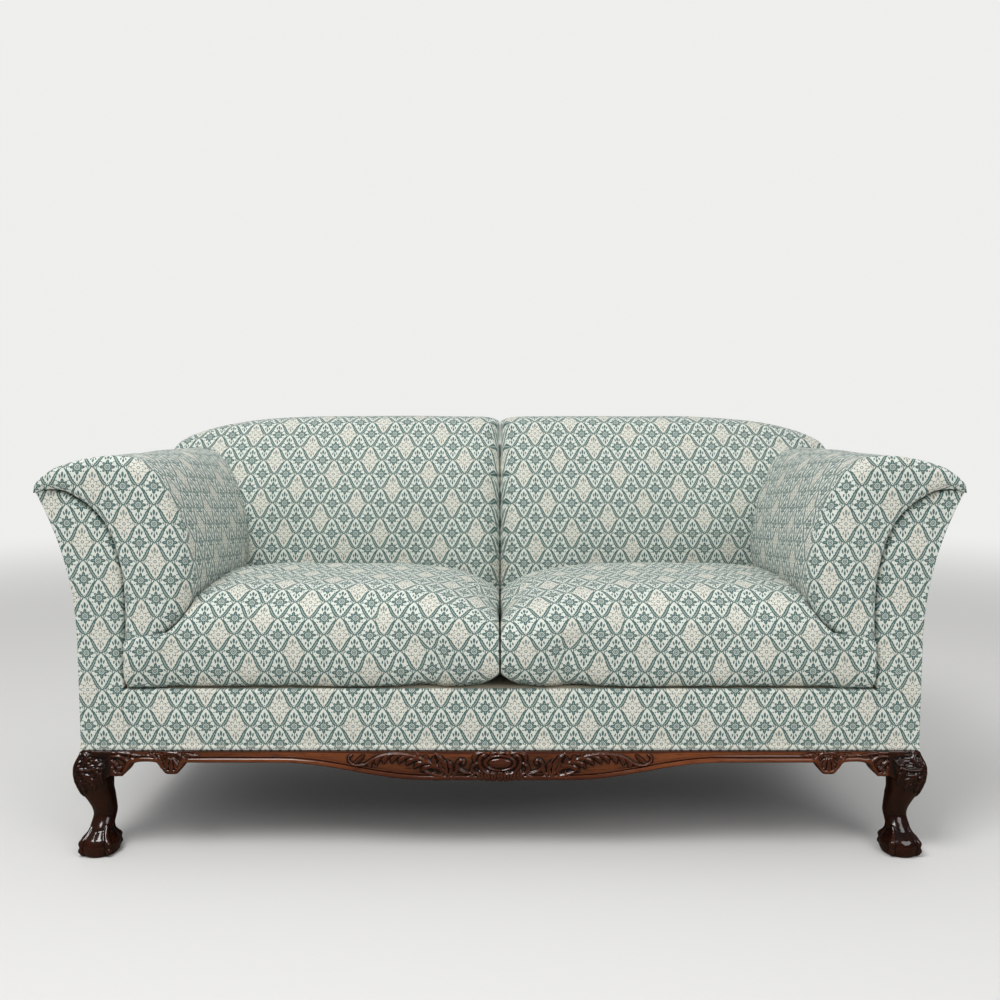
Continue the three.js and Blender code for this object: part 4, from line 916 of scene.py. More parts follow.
# The toes' ways round the foot, in degrees, and half of its depth along with its middle height
TOES = [-45, -133, 45, 138]
BALL_RADIUS, BALL_MIDDLE, BALL_REACH = 37.8, 16, 25
# By height over the floor: the skin between the toes, and each toe's reach and half width
SKIN_ROWS = [[20, 30], [25, 36.6], [29, 35.8], [33, 33], [37, 29], [41, 25.6], [45, 22.8], [52, 15]]
TOE_REACH = [[0, 34], [3, 39], [7, 42.6], [10, 44.2], [14, 43.8], [18, 41.6], [22, 42.4], [26, 43.6],
             [30, 41.6], [34, 37.4], [38, 32.6], [42, 29], [47, 26.4], [53, 24.2], [60, 18]]
TOE_HALF = [[0, 2.4], [3, 4], [7, 5.4], [10, 7.2], [14, 7.2], [18, 5.6], [22, 6.8], [26, 8], [30, 7],
            [36, 5.8], [42, 4.8], [48, 4.2], [60, 3.4]]
NAIL_AT = 7
# The foot is full up to here, meets the leg by the next height, and moves over to the ankle by the last
FOOT_FULL, FOOT_TOP, ANKLE_AT = 38, 96, 78
# Each leaf or scroll on the knee: places as distance round from its outer corner and height, the rest as
# above
CURL_WIDTHS = [2.4, 3, 3.2, 3, 2.6, 2]
KNEE_LEAVES = [
    ([(3, 194), (14, 199), (22, 191), (20, 179), (11, 176), (12, 184)], CURL_WIDTHS, 4.6, 0.4, 0),
    ([(24, 197), (36, 201), (45, 193), (43, 181), (33, 179), (34, 187)], CURL_WIDTHS, 4.4, 0.4, 0),
    ([(12, 172), (25, 170), (38, 173), (50, 168)], [2.6, 3.6, 3.2, 0.8], 4.0, 0.7, 2),
    ([(0, 160), (0, 146), (0, 130), (0, 112)], [3, 4.4, 3.8, 0.8], 4.4, 0.9, 4),
    ([(8, 162), (15, 148), (17, 134), (13, 120)], [2.6, 3.6, 3.2, 0.8], 4.0, 0.8, 3),
    ([(20, 164), (30, 152), (33, 138), (30, 127)], [2.6, 3.6, 3.2, 0.8], 3.8, 0.8, 3),
    ([(36, 168), (48, 158), (52, 146), (49, 137)], [2.6, 3.4, 3, 0.8], 3.6, 0.8, 3),
]
KNEE_STEMS = ([(0, 164), (0, 140), (0, 112)], [(8, 164), (16, 146), (14, 120)],
              [(20, 166), (32, 150), (30, 126)])
for stem in KNEE_STEMS:
    for side in (1, -1):
        KNEE_LEAVES += frond(stem, (0.15, 0.38, 0.6), 12, 2.7, side, 3.4)


KNEE_BOSS = 176


def knee_relief(a, z):
    """How far the knee's carving stands out, by the distance round from its outer corner and the height."""
    a = np.abs(a)
    relief = knob(a, z, (0, KNEE_BOSS), (7, 12), 5.0)
    ring = np.hypot(a / 10, (z - KNEE_BOSS) / 16)
    relief = np.maximum(relief, 3.2 * np.sqrt(np.maximum(0, 1 - ((ring - 1) * 5) ** 2)))
    for points, widths, height, vein, lobes in KNEE_LEAVES:
        relief = np.maximum(relief, carved(a, z, points, widths, height, vein, lobes))
    chips = scaled(a, z, 6.2, 4.6, 1.7, (2.2, 1.7), 0.4)
    return np.maximum(relief, chips * np.clip((z - 122 - 0.3 * a) / 10, 0, 1) * (a < 56))


def loft(rings):
    """A closed body through closed rings of points."""
    rings = np.asarray(rings, float)
    rings = np.concatenate([rings, rings[:, :1]], 1)
    sides = [panel(rings, rings[..., :2])]
    for end in (rings[0], rings[-1]):
        middle = np.repeat(end[:-1].mean(0)[None], len(end), 0)
        sides.append(panel(np.stack([end, middle], 1), np.zeros((len(end), 2, 2))))
    return sides


def read(rows, at):
    """A value read from rows of place and value."""
    return np.interp(at, *np.transpose(rows))


def paw_radius(turn, z):
    """The foot's outside round its own middle: a ball, four knuckled toes and the skin between them."""
    ball = BALL_RADIUS * max(0, 1 - (abs(z - BALL_MIDDLE) / BALL_REACH) ** 2.4) ** 0.42
    way = np.radians(TOES)[:, None]
    off = np.abs((turn[None] - way + math.pi) % (2 * math.pi) - math.pi)
    between_toes = np.sort(off, axis=0)[:2].sum(0) / 2
    nearest = off.min(0)
    skin = read(SKIN_ROWS, z) - 2.2 * np.clip(nearest / between_toes, 0, 1) ** 2
    crest, half = read(TOE_REACH, z), read(TOE_HALF, z)
    ratio = np.minimum(1, nearest * crest / half)
    toe = crest - half * 0.95 * (1 - np.sqrt(1 - ratio ** 2)) - 60 * (ratio >= 1)
    nail = np.exp(-((z - NAIL_AT) / 1.1) ** 2) * 1.6
    return np.maximum(np.maximum(ball, skin), toe - nail)


def leg_column():
    """The leg up to the seat: a turned and squared post that leans out at the knee and the ball."""
    z = np.concatenate([np.linspace(0, 4, 6, endpoint=False), np.arange(4, LEG_HEIGHT + 0.01, 1.25)])
    table = np.array(LEG_ROWS)
    margin = 9
    window = np.hanning(2 * margin + 1) / np.hanning(2 * margin + 1).sum()
    fine = np.arange(-margin - 1, LEG_HEIGHT + 12, 1.0)
    smooth = []
    for column in table.T[1:]:
        soft = np.convolve(np.interp(fine, table[:, 0] * LEG_HEIGHT, column), window, "valid")
        smooth.append(np.interp(z, fine[margin:-margin], soft))
    turn = np.linspace(0, 2 * math.pi, 260, endpoint=False)
    c, s = np.cos(turn), np.sin(turn)
    around = (turn + math.pi / 4 + math.pi) % (2 * math.pi) - math.pi
    rings = []
    for height, reach, size, square in zip(z, *smooth):
        half = size * LEG_HALF
        power = 2 / (2 + 4 * square)
        out = np.column_stack([np.sign(c) * np.abs(c) ** power, np.sign(s) * np.abs(s) ** power]) * half
        under_rail = np.clip((LEG_HEIGHT - height) / 4, 0, 1)
        rise = knee_relief(around * half, np.full(len(turn), height)) * under_rail
        sunk = 0.8 + 1.6 * np.clip((height - 108) / 14, 0, 1) * under_rail
        out += out / np.linalg.norm(out, axis=1)[:, None] * (rise * 1.35 - sunk)[:, None]
        share = np.clip((ANKLE_AT - height) / 46, 0, 1)
        share = share * share * (3 - 2 * share)
        middle = ANKLE + KNEE_LEAN * reach * np.clip((height - 60) / 20, 0, 1) + (BALL - ANKLE) * share
        if height < FOOT_TOP:
            post = np.linalg.norm(out, axis=1) * (height > FOOT_FULL)
            out = np.column_stack([c, s]) * np.maximum(paw_radius(turn, height), post)[:, None]
        rings.append(np.column_stack([middle + out, np.full(len(turn), height)]))
    return loft(rings)


OUTLINE = 60


def plate(points, low, high, across=(1, 2, 0)):
    """A flat board: its outline in two directions, from low to high in the third."""
    outline = even(np.array(points + points[:1], float), np.linspace(0, 1, OUTLINE, endpoint=False))
    board = np.stack([np.column_stack([outline, np.full(OUTLINE, at)]) for at in np.linspace(low, high, 9)])
    return loft(board[..., np.argsort(across)])


# The side bracket: where it starts, its depth, height and thickness, and its outline as shares
BRACKET_FROM = RAIL_FACE + 50.3
BRACKET_DEEP, BRACKET_HIGH, BRACKET_THICK = 52, 44, 24
BRACKET = ((0, 0), (1, 0), (0.95, 0.2), (0.6, 0.36), (0.35, 0.8), (0.1, 1), (0, 1))
STUMP_FOOT, STUMP_DEEP = 184, 56
# The leg, its stump and its ear start just outside the rail.
LEG_INNER = RAIL_HALF + 0.3
VOXEL = 0.0011


def front_leg(name, flip):
    """Cabriole leg: its parts are fused, and marked for polish, wear and painted shade in its hollows."""
    bracket = [(BRACKET_FROM + BRACKET_DEEP * back, LEG_HEIGHT - BRACKET_HIGH * down)
               for back, down in BRACKET]
    stump_rear = FRAME_FRONT + STUMP_DEEP
    stump = [(FRAME_FRONT, STUMP_FOOT), (stump_rear, STUMP_FOOT), (stump_rear, SEAT_FRAME_TOP),
             (FRAME_FRONT, SEAT_FRAME_TOP)]
    ear = [(LEG_INNER, LEG_HEIGHT), (792, LEG_HEIGHT), (792, 148), (768, 150), (758, 154), (LEG_INNER, 158)]
    body = bpy.data.meshes.new("rough_leg")
    work = bmesh.new()
    for sides in (leg_column(), plate(bracket, FRAME_HALF - BRACKET_THICK, FRAME_HALF),
                  plate(stump, LEG_INNER, FRAME_HALF), plate(ear, -360, -325, (0, 2, 1))):
        part = sew("part", sides)
        work.from_mesh(part)
        bpy.data.meshes.remove(part)
    work.to_mesh(body)
    work.free()
    rough = bpy.data.objects.new("rough_leg", body)
    bpy.context.scene.collection.objects.link(rough)
    fused = rough.modifiers.new("fused", "REMESH")
    fused.mode = "VOXEL"
    fused.voxel_size = VOXEL
    shown = rough.evaluated_get(bpy.context.evaluated_depsgraph_get())
    mesh = bpy.data.meshes.new_from_object(shown)
    bpy.data.objects.remove(rough)
    bpy.data.meshes.remove(body)
    mesh.name = name
    spots = places_of(mesh)
    spots[:, 2] = np.maximum(spots[:, 2], 0)
    if flip:
        spots[:, 0] *= -1
    put_places(mesh, spots)
    if flip:
        mesh.flip_normals()
    mesh.polygons.foreach_set("use_smooth", np.ones(len(mesh.polygons), bool))
    return hollows(mesh, 8, 0.34)


# Shader arithmetic

class Tone:
    """A number inside a shader tree, so that a pattern reads as a sum."""

    def __init__(self, tree, socket):
        self.tree, self.socket = tree, socket

    def work(self, kind, *others):
        node = self.tree.nodes.new("ShaderNodeMath")
        node.operation = kind
        for slot, value in zip(node.inputs, (self,) + others):
            if isinstance(value, Tone):
                self.tree.links.new(value.socket, slot)
            else:
                slot.default_value = value
        return Tone(self.tree, node.outputs[0])

    def __add__(self, other):
        return self.work("ADD", other)

    def __sub__(self, other):
        return self.work("SUBTRACT", other)

    def __rsub__(self, other):
        return self.work("MULTIPLY_ADD", -1.0, other)

    def __mul__(self, other):
        return self.work("MULTIPLY", other)

    def __truediv__(self, other):
        return self.work("DIVIDE", other)

    __radd__ = __add__
    __rmul__ = __mul__

    def to(self, power):
        return self.work("POWER", power)

    def size(self):
        return self.work("ABSOLUTE")

    def low(self, other):
        return self.work("MINIMUM", other)

    def high(self, other):
        return self.work("MAXIMUM", other)

    def held(self):
        """Kept from 0 to 1."""
        return self.low(1.0).high(0.0)

    def soft(self, edge=0.5):
        """0 below nothing and 1 above it, over a narrow edge."""
        return (self / edge + 0.5).held()


def far(a, b):
    """The distance given by two sides."""
    return (a * a + b * b).work("SQRT")


def either(first, *others):
    """Where any of several marks is."""
    for other in others:
        first = first.high(other)
    return first


def dot(u, v, radius):
    return (radius - far(u, v)).soft()


def oval(u, v, half_wide, half_tall, gain):
    return ((1.0 - far(u / half_wide, v / half_tall)) * gain).held()


def line_at(distance, place, half):
    """A drawn line where a distance has a certain value."""
    return (half - (distance - place).size()).soft()


def new_group(name, inputs, outputs):
    """An empty node group with named inputs and outputs."""
    tree = bpy.data.node_groups.new(name, "ShaderNodeTree")
    for label, kind, value in inputs:
        socket = tree.interface.new_socket(label, in_out="INPUT", socket_type="NodeSocket" + kind)
        if value is not None:
            socket.default_value = value
    for label, kind in outputs:
        tree.interface.new_socket(label, in_out="OUTPUT", socket_type="NodeSocket" + kind)
    return tree, tree.nodes.new("NodeGroupInput"), tree.nodes.new("NodeGroupOutput")


def parts_of(tree, vector, scale=1.0):
    """The three numbers of a vector, each times the scale."""
    split = tree.nodes.new("ShaderNodeSeparateXYZ")
    tree.links.new(vector, split.inputs[0])
    return [Tone(tree, socket) * scale if scale != 1.0 else Tone(tree, socket) for socket in split.outputs]


def blended(tree, share, first, second, kind="MIX"):
    """A colour between two others; each may be a colour or a socket."""
    node = tree.nodes.new("ShaderNodeMix")
    node.data_type = "RGBA"
    node.blend_type = kind
    for socket, value in ((node.inputs[0], share), (node.inputs[6], first), (node.inputs[7], second)):
        value = value.socket if isinstance(value, Tone) else value
        if isinstance(value, bpy.types.NodeSocket):
            tree.links.new(value, socket)
        else:
            socket.default_value = value
    return node.outputs[2]


def noise(tree, vector, scale, detail=3.0, rough=0.55, stretch=None):
    """Soft chance marks; a stretch draws them out along one way."""
    if stretch:
        mapping = tree.nodes.new("ShaderNodeMapping")
        mapping.inputs["Scale"].default_value = stretch
        tree.links.new(vector, mapping.inputs["Vector"])
        vector = mapping.outputs[0]
    node = tree.nodes.new("ShaderNodeTexNoise")
    node.inputs["Scale"].default_value = scale
    node.inputs["Detail"].default_value = detail
    node.inputs["Roughness"].default_value = rough
    tree.links.new(vector, node.inputs["Vector"])
    return Tone(tree, node.outputs["Fac"])


# The print's cell in millimetres
CELL_WIDE, CELL_TALL = 57.0, 72.0


def leaf_print():
    """A lattice of serrated leaves round stars and buds; one cell in four is pale and drawn in line."""
    tree, start, end = new_group("leaf_print", [
        ("Cloth", "Vector", None), ("Ground", "Color", (0.8, 0.8, 0.76, 1)),
        ("Pale Cell", "Color", (0.8, 0.75, 0.65, 1)), ("Leaf", "Color", (0.15, 0.24, 0.22, 1))],
        [("Color", "Color"), ("Ink", "Float")])
    u, v, _ = parts_of(tree, start.outputs["Cloth"], 1 / MM)
    a, b = u / CELL_WIDE + v / CELL_TALL, u / CELL_WIDE - v / CELL_TALL
    in_a, in_b = a.work("FRACT"), b.work("FRACT")
    near_a, near_b = (in_a + 0.5).work("FRACT") - 0.5, (in_b + 0.5).work("FRACT") - 0.5
    reach = 1 / math.hypot(1 / CELL_WIDE, 1 / CELL_TALL)

    def leaf(off, along):
        """One serrated leaf along a lattice line, with an open vein."""
        off = (off * reach - (along * (2 * math.pi)).work("SINE") * 2.0).size()
        teeth = (along * (16 * math.pi)).work("SINE") * 0.13 + 1.0
        width = (along.to(0.72) * math.pi).work("SINE").to(0.8) * 4.3 * teeth
        vein = (0.34 - off).soft() * ((along - 0.1) * 20.0).soft() * ((0.6 - along) * 20.0).soft()
        return (width - off - 0.5).soft() * (1.0 - vein)

    lattice = leaf(near_a * -1.0, 1.0 - in_b).high(leaf(near_b, in_a))
    # Places from the nearest crossing of two leaves, then from the middle of the cell, mirrored
    cu, cv = ((near_a + near_b) * (CELL_WIDE / 2)).size(), (near_a - near_b) * (CELL_TALL / 2)
    crossing = either(dot(cu, cv, 1.5), dot(cu - 3.6, cv + 1.0, 1.2), dot(cu, cv - 4.6, 1.0))
    pu, pv = ((in_a + in_b - 1.0) * (CELL_WIDE / 2)).size(), (in_a - in_b) * (CELL_TALL / 2)
    r = far(pu, pv)
    turn = pu.work("ARCTAN2", pv) * 2.0
    long = turn.work("COSINE").size().to(2.2) * 11.2 + 3.4
    short = turn.work("SINE").size().to(2.6) * 9.8 + 3.0
    edge = long.high(short) - r
    midrib = (turn * 2.0).work("SINE").size() * r - 0.8
    petals = either(midrib.soft(), (6.0 - r).soft(), (r - 10.4).soft())
    star = edge.soft() * ((r - 4.8).size() - 0.6).soft() * (r - 2.5).soft() * petals
    flower = star.high((1.7 - r).soft())
    drawn = (line_at(edge, 1.0, 0.85) * (r - 3.0).soft()).high(line_at(r, 2.4, 0.6))
    buds = either(oval(pu, pv - 22.0, 2.6, 6.0, 4.0), oval(pu, pv + 22.5, 2.1, 4.6, 4.0))
    twig = (0.55 - pu).soft() * (pv.size() - 14.0).soft() * (27.0 - pv.size()).soft()
    wing = oval(pu - 5.0 - (pv - 19.5) * 0.2, pv - 19.0, 1.9, 4.6, 3.4)
    low_wing = oval(pu - 4.6 + (pv + 18.0) * 0.2, pv + 18.0, 1.7, 4.0, 3.2)
    curl = line_at(far(pu - 18.6, pv - 0.6), 2.7, 0.7) * (pv + 1.4 - (18.6 - pu) * 0.6).soft()
    tendril = line_at(far(pu - 12.4, pv + 1.0), 8.4, 0.7) * (pu - 15.6).soft() * (0.2 - pv).soft()
    berries = either(dot(pu - 17.6, pv - 0.2, 1.2), dot(pu - 12.4, pv + 8.4, 1.3),
                     dot(pu - 11.4, pv - 10.2, 1.2))
    stalk = either(buds, twig, wing, low_wing, curl, tendril, berries)
    cell = (a.work("FLOOR") + b.work("FLOOR") * 2.0) / 4.0 + 0.125
    pale = cell.work("FRACT").work("LESS_THAN", 0.25)
    ink = either(lattice, crossing, stalk * (1.0 - pale * 0.25), flower * (1.0 - pale) + drawn * pale)
    ground = blended(tree, pale, start.outputs["Ground"], start.outputs["Pale Cell"])
    tree.links.new(blended(tree, ink, ground, start.outputs["Leaf"]), end.inputs["Color"])
    tree.links.new(ink.socket, end.inputs["Ink"])
    return tree


THREAD = 0.9


def plain_weave():
    """Threads over and under each other, with slubs; gives a height and a shade."""
    tree, start, end = new_group("plain_weave", [("Cloth", "Vector", None), ("Thread", "Float", THREAD)],
                                 [("Height", "Float"), ("Shade", "Float")])
    cloth = start.outputs["Cloth"]
    thread = Tone(tree, start.outputs["Thread"])
    u, v = (place / thread for place in parts_of(tree, cloth, 1 / MM)[:2])
    warp, weft = (u * math.pi).work("SINE").size(), (v * math.pi).work("SINE").size()
    over = ((u.work("FLOOR") + v.work("FLOOR")) * 0.5).work("FRACT") * 2.0
    height = warp * over + weft * (1.0 - over)
    slub = noise(tree, cloth, 60.0, 2.0, 0.6, (12.0, 1.0, 1.0))
    cross = noise(tree, cloth, 60.0, 2.0, 0.6, (1.0, 12.0, 1.0))
    tree.links.new((height * 0.7 + slub * 0.6 + cross * 0.6).socket, end.inputs["Height"])
    shade = height * 0.10 + (slub - 0.5) * 0.16 + (cross - 0.5) * 0.16 + 0.93
    tree.links.new(shade.socket, end.inputs["Shade"])
    return tree


def polished_grain():
    """Dark red-brown timber with fine pores along it, dark polish and painted shade in the hollows, and
    rubbed high places.
    """
    tree, start, end = new_group("polished_grain", [
        ("Place", "Vector", None), ("Hollow", "Float", 0.0), ("Dark", "Color", (0.02, 0.008, 0.005, 1)),
        ("Red", "Color", (0.16, 0.05, 0.025, 1)), ("Rubbed", "Color", (0.3, 0.11, 0.055, 1))],
        [("Color", "Color"), ("Roughness", "Float"), ("Height", "Float")])
    place = start.outputs["Place"]
    broad = noise(tree, place, 9.0, 4.0, 0.6)
    pores = noise(tree, place, 260.0, 3.0, 0.7)
    hollow = Tone(tree, start.outputs["Hollow"])
    # deep darkens the hollows: partly dark polish, partly painted shade.
    deep = (hollow * 1.5 + (broad - 0.5) * 0.5).held()
    high = (hollow * -1.4 - 0.15 + (broad - 0.5) * 0.6).held()
    dark = start.outputs["Dark"]
    body = blended(tree, (broad * 3.4 - 1.2).held(), dark, start.outputs["Red"])
    body = blended(tree, ((pores - 0.5) * 3.0).low(0.6).high(0.0), body, dark)
    # Painted shade and dark polish in the hollows.
    body = blended(tree, deep, body, dark)
    body = blended(tree, high * 0.85, body, start.outputs["Rubbed"])
    tree.links.new(body, end.inputs["Color"])
    tree.links.new((deep * 0.4 + pores * 0.14 + 0.12).socket, end.inputs["Roughness"])
    tree.links.new((pores * 0.5 + broad * 0.2).socket, end.inputs["Height"])
    return tree


def new_material(name, roughness):
    """A material with its nodes and its main shader."""
    material = bpy.data.materials.new(name)
    material.use_nodes = True
    tree = material.node_tree
    shader = tree.nodes["Principled BSDF"]
    shader.inputs["Roughness"].default_value = roughness
    return material, tree, shader


def reading(tree, name):
    """What a mesh carries under a name."""
    node = tree.nodes.new("ShaderNodeAttribute")
    node.attribute_name = name
    return node


def placed(tree, group, links, values=()):
    """A shared group in a material, with its inputs linked or set."""
    node = tree.nodes.new("ShaderNodeGroup")
    node.node_tree = group
    for label, source in links:
        tree.links.new(source, node.inputs[label])
    for label, value in values:
        node.inputs[label].default_value = value
    return node


def bumped(tree, shader, height, depth, strength):
    """Fine relief, its depth in metres."""
    bump = tree.nodes.new("ShaderNodeBump")
    bump.inputs["Strength"].default_value = strength
    bump.inputs["Distance"].default_value = depth
    tree.links.new(height, bump.inputs["Height"])
    tree.links.new(bump.outputs[0], shader.inputs["Normal"])


GROUND, PALE_CELL = (0.77, 0.80, 0.73), (0.79, 0.775, 0.685)


def printed_cloth(name, pattern, weave, leaf, bright=1.0):
    """The printed cover; its print and weave follow the cloth places. A bright above 1 lightens the ground,
    as painted highlight on the hem.
    """
    material, tree, shader = new_material(name, 0.86)
    shader.inputs["Sheen Weight"].default_value = 0.12
    shader.inputs["Sheen Roughness"].default_value = 0.5
    shader.inputs["Specular IOR Level"].default_value = 0.25
    cloth = reading(tree, "cloth").outputs["Vector"]
    print_node = placed(tree, pattern, [("Cloth", cloth)], [
        ("Ground", tuple(bright * c for c in GROUND) + (1,)),
        ("Pale Cell", tuple(bright * c for c in PALE_CELL) + (1,)),
        ("Leaf", leaf + (1,))])
    threads = placed(tree, weave, [("Cloth", cloth)], [("Thread", THREAD)])
    place = tree.nodes.new("ShaderNodeTexCoord").outputs["Object"]
    worn = noise(tree, place, 7.0, 2.0) * 0.10 + 0.95
    shade = worn * Tone(tree, threads.outputs["Shade"])
    grey = tree.nodes.new("ShaderNodeCombineColor")
    for socket in grey.inputs:
        tree.links.new(shade.socket, socket)
    colour = blended(tree, 1.0, print_node.outputs["Color"], grey.outputs[0], "MULTIPLY")
    tree.links.new(colour, shader.inputs["Base Color"])
    bumped(tree, shader, threads.outputs["Height"], 0.00035, 0.6)
    return material


def plain_cloth(name, weave, colour, dark, thread):
    """Unprinted cloth; its weave lies by the piece's own place in the sofa."""
    material, tree, shader = new_material(name, 0.92)
    shader.inputs["Specular IOR Level"].default_value = 0.2
    place = tree.nodes.new("ShaderNodeTexCoord").outputs["Object"]
    x, y, z = parts_of(tree, place)
    join = tree.nodes.new("ShaderNodeCombineXYZ")
    tree.links.new((x + z * 0.31).socket, join.inputs[0])
    tree.links.new((y + z * 0.95).socket, join.inputs[1])
    threads = placed(tree, weave, [("Cloth", join.outputs[0])], [("Thread", thread)])
    blot = noise(tree, place, 14.0, 4.0)
    share = (blot * 0.5 + Tone(tree, threads.outputs["Shade"]) * 2.4 - 1.9).held()
    tree.links.new(blended(tree, share, dark + (1,), colour + (1,)), shader.inputs["Base Color"])
    bumped(tree, shader, threads.outputs["Height"], thread * 0.0004, 0.7)
    return material


def timber(name, group, stretch, dark, red, rubbed, coat=0.0):
    """Wood with its grain drawn out along one way, bare or under a coat of polish."""
    material, tree, shader = new_material(name, 0.4)
    shader.inputs["Coat Weight"].default_value = coat
    shader.inputs["Specular IOR Level"].default_value = 0.12
    shader.inputs["Coat Roughness"].default_value = 0.1
    shader.inputs["Coat IOR"].default_value = 1.6
    mapping = tree.nodes.new("ShaderNodeMapping")
    mapping.inputs["Scale"].default_value = stretch
    tree.links.new(tree.nodes.new("ShaderNodeTexCoord").outputs["Object"], mapping.inputs["Vector"])
    hollow = reading(tree, "hollow").outputs["Fac"]
    grain = placed(tree, group, [("Place", mapping.outputs[0]), ("Hollow", hollow)],
                   [("Dark", dark + (1,)), ("Red", red + (1,)), ("Rubbed", rubbed + (1,))])
    tree.links.new(grain.outputs["Color"], shader.inputs["Base Color"])
    tree.links.new(grain.outputs["Roughness"], shader.inputs["Roughness"])
    bumped(tree, shader, grain.outputs["Height"], 0.0004, 0.35)
    return material


def spring_wire():
    """Coppered wire, dulled and spotted."""
    material, tree, shader = new_material("spring_wire", 0.4)
    shader.inputs["Metallic"].default_value = 0.9
    place = tree.nodes.new("ShaderNodeTexCoord").outputs["Object"]
    rust = noise(tree, place, 90.0, 4.0)
    colour = blended(tree, (rust * 2.4 - 0.9).held(), (0.34, 0.3, 0.27, 1), (0.16, 0.1, 0.07, 1))
    tree.links.new(colour, shader.inputs["Base Color"])
    tree.links.new((rust * 0.4 + 0.25).socket, shader.inputs["Roughness"])
    bumped(tree, shader, rust.socket, 0.0002, 0.4)
    return material


# The studio

BACKDROP = (0.86, 0.86, 0.85, 1)
FLOOR_RADIUS = 9
FADE_FROM, FADE_OVER = 2.4, 3.6


def joined(tree, share, first, second, end):
    """Two shaders, mixed by a share, into the tree's output."""
    mix = tree.nodes.new("ShaderNodeMixShader")
    tree.links.new(share.socket, mix.inputs[0])
    tree.links.new(first.outputs[0], mix.inputs[1])
    tree.links.new(second.outputs[0], mix.inputs[2])
    tree.links.new(mix.outputs[0], tree.nodes[end].inputs[0])


def pale_floor():
    """A pale floor that fades into the backdrop far from the sofa, and looks dark in the polish."""
    mesh = bpy.data.meshes.new("floor")
    turns = np.linspace(0, 2 * math.pi, 64, endpoint=False)
    ring = [(FLOOR_RADIUS * math.cos(a), FLOOR_RADIUS * math.sin(a), 0) for a in turns]
    mesh.from_pydata(ring, [], [tuple(range(len(ring)))])
    floor = bpy.data.objects.new("floor", mesh)
    bpy.context.scene.collection.objects.link(floor)
    material, tree, shader = new_material("floor", 0.9)
    shader.inputs["Specular IOR Level"].default_value = 0.1
    rays = tree.nodes.new("ShaderNodeLightPath")
    in_polish = Tone(tree, rays.outputs["Is Glossy Ray"])
    colour = blended(tree, in_polish, (0.78, 0.77, 0.75, 1), (0.1, 0.08, 0.06, 1))
    tree.links.new(colour, shader.inputs["Base Color"])
    glow = tree.nodes.new("ShaderNodeEmission")
    glow.inputs[0].default_value = BACKDROP
    x, y, _ = parts_of(tree, tree.nodes.new("ShaderNodeNewGeometry").outputs["Position"])
    fade = ((far(x, y) - FADE_FROM) / FADE_OVER).held()
    fade = fade * fade * (3.0 - fade * 2.0) * Tone(tree, rays.outputs["Is Camera Ray"])
    joined(tree, fade, shader, glow, "Material Output")
    mesh.materials.append(material)


def surroundings():
    """Soft light, stronger from above, and a plain pale backdrop; the polish sees them dimmer."""
    world = bpy.data.worlds.new("studio")
    bpy.context.scene.world = world
    world.use_nodes = True
    tree = world.node_tree
    soft_light = tree.nodes["Background"]
    soft_light.inputs[0].default_value = (0.97, 0.98, 1.0, 1)
    up = parts_of(tree, tree.nodes.new("ShaderNodeTexCoord").outputs["Generated"])[2].high(0.0)
    rays = tree.nodes.new("ShaderNodeLightPath")
    dim = 1.0 - Tone(tree, rays.outputs["Is Glossy Ray"]) * 0.88
    tree.links.new(((up * 0.6 + 0.19) * dim).socket, soft_light.inputs[1])
    wall = tree.nodes.new("ShaderNodeBackground")
    wall.inputs[0].default_value = BACKDROP
    seen = Tone(tree, rays.outputs["Is Camera Ray"]).high(Tone(tree, rays.outputs["Is Transmission Ray"]))
    joined(tree, seen, soft_light, wall, "World Output")


# What the lamps point at
LIT = np.array([0, 0, 0.45])


def lamp(name, place, size, power):
    """A square soft lamp."""
    light = bpy.data.lights.new(name, "AREA")
    light.energy = power
    light.size = size
    holder = bpy.data.objects.new(name, light)
    holder.location = place
    x, y, z = LIT - np.array(place)
    holder.rotation_euler = (math.atan2(math.hypot(x, y), -z), 0, math.atan2(-x, y))
    bpy.context.scene.collection.objects.link(holder)


# The camera's place in metres, how far it tilts down, and its lens and sensor
EYE = (0, -2.249, 0.85)
TILT = 4.75
LENS = 36
SENSOR = 36


def camera():
    lens = bpy.data.cameras.new("camera")
    lens.sensor_width = SENSOR
    lens.lens = LENS
    lens.clip_start = 0.05
    holder = bpy.data.objects.new("camera", lens)
    holder.location = EYE
    holder.rotation_euler = (math.radians(90 - TILT), 0, 0)
    bpy.context.scene.collection.objects.link(holder)
    bpy.context.scene.camera = holder


# The sofa, put together

camera()
pale_floor()
surroundings()
lamp("key_lamp", (-1.3, -1.9, 3.7), 1.7, 82)
lamp("fill_lamp", (1.9, -2.6, 2.3), 1.6, 22)
bpy.context.scene.view_settings.view_transform = "Standard"
PATTERN, WEAVE, GRAIN = leaf_print(), plain_weave(), polished_grain()
UPHOLSTERY = printed_cloth("printed_cover", PATTERN, WEAVE, (0.088, 0.165, 0.15))
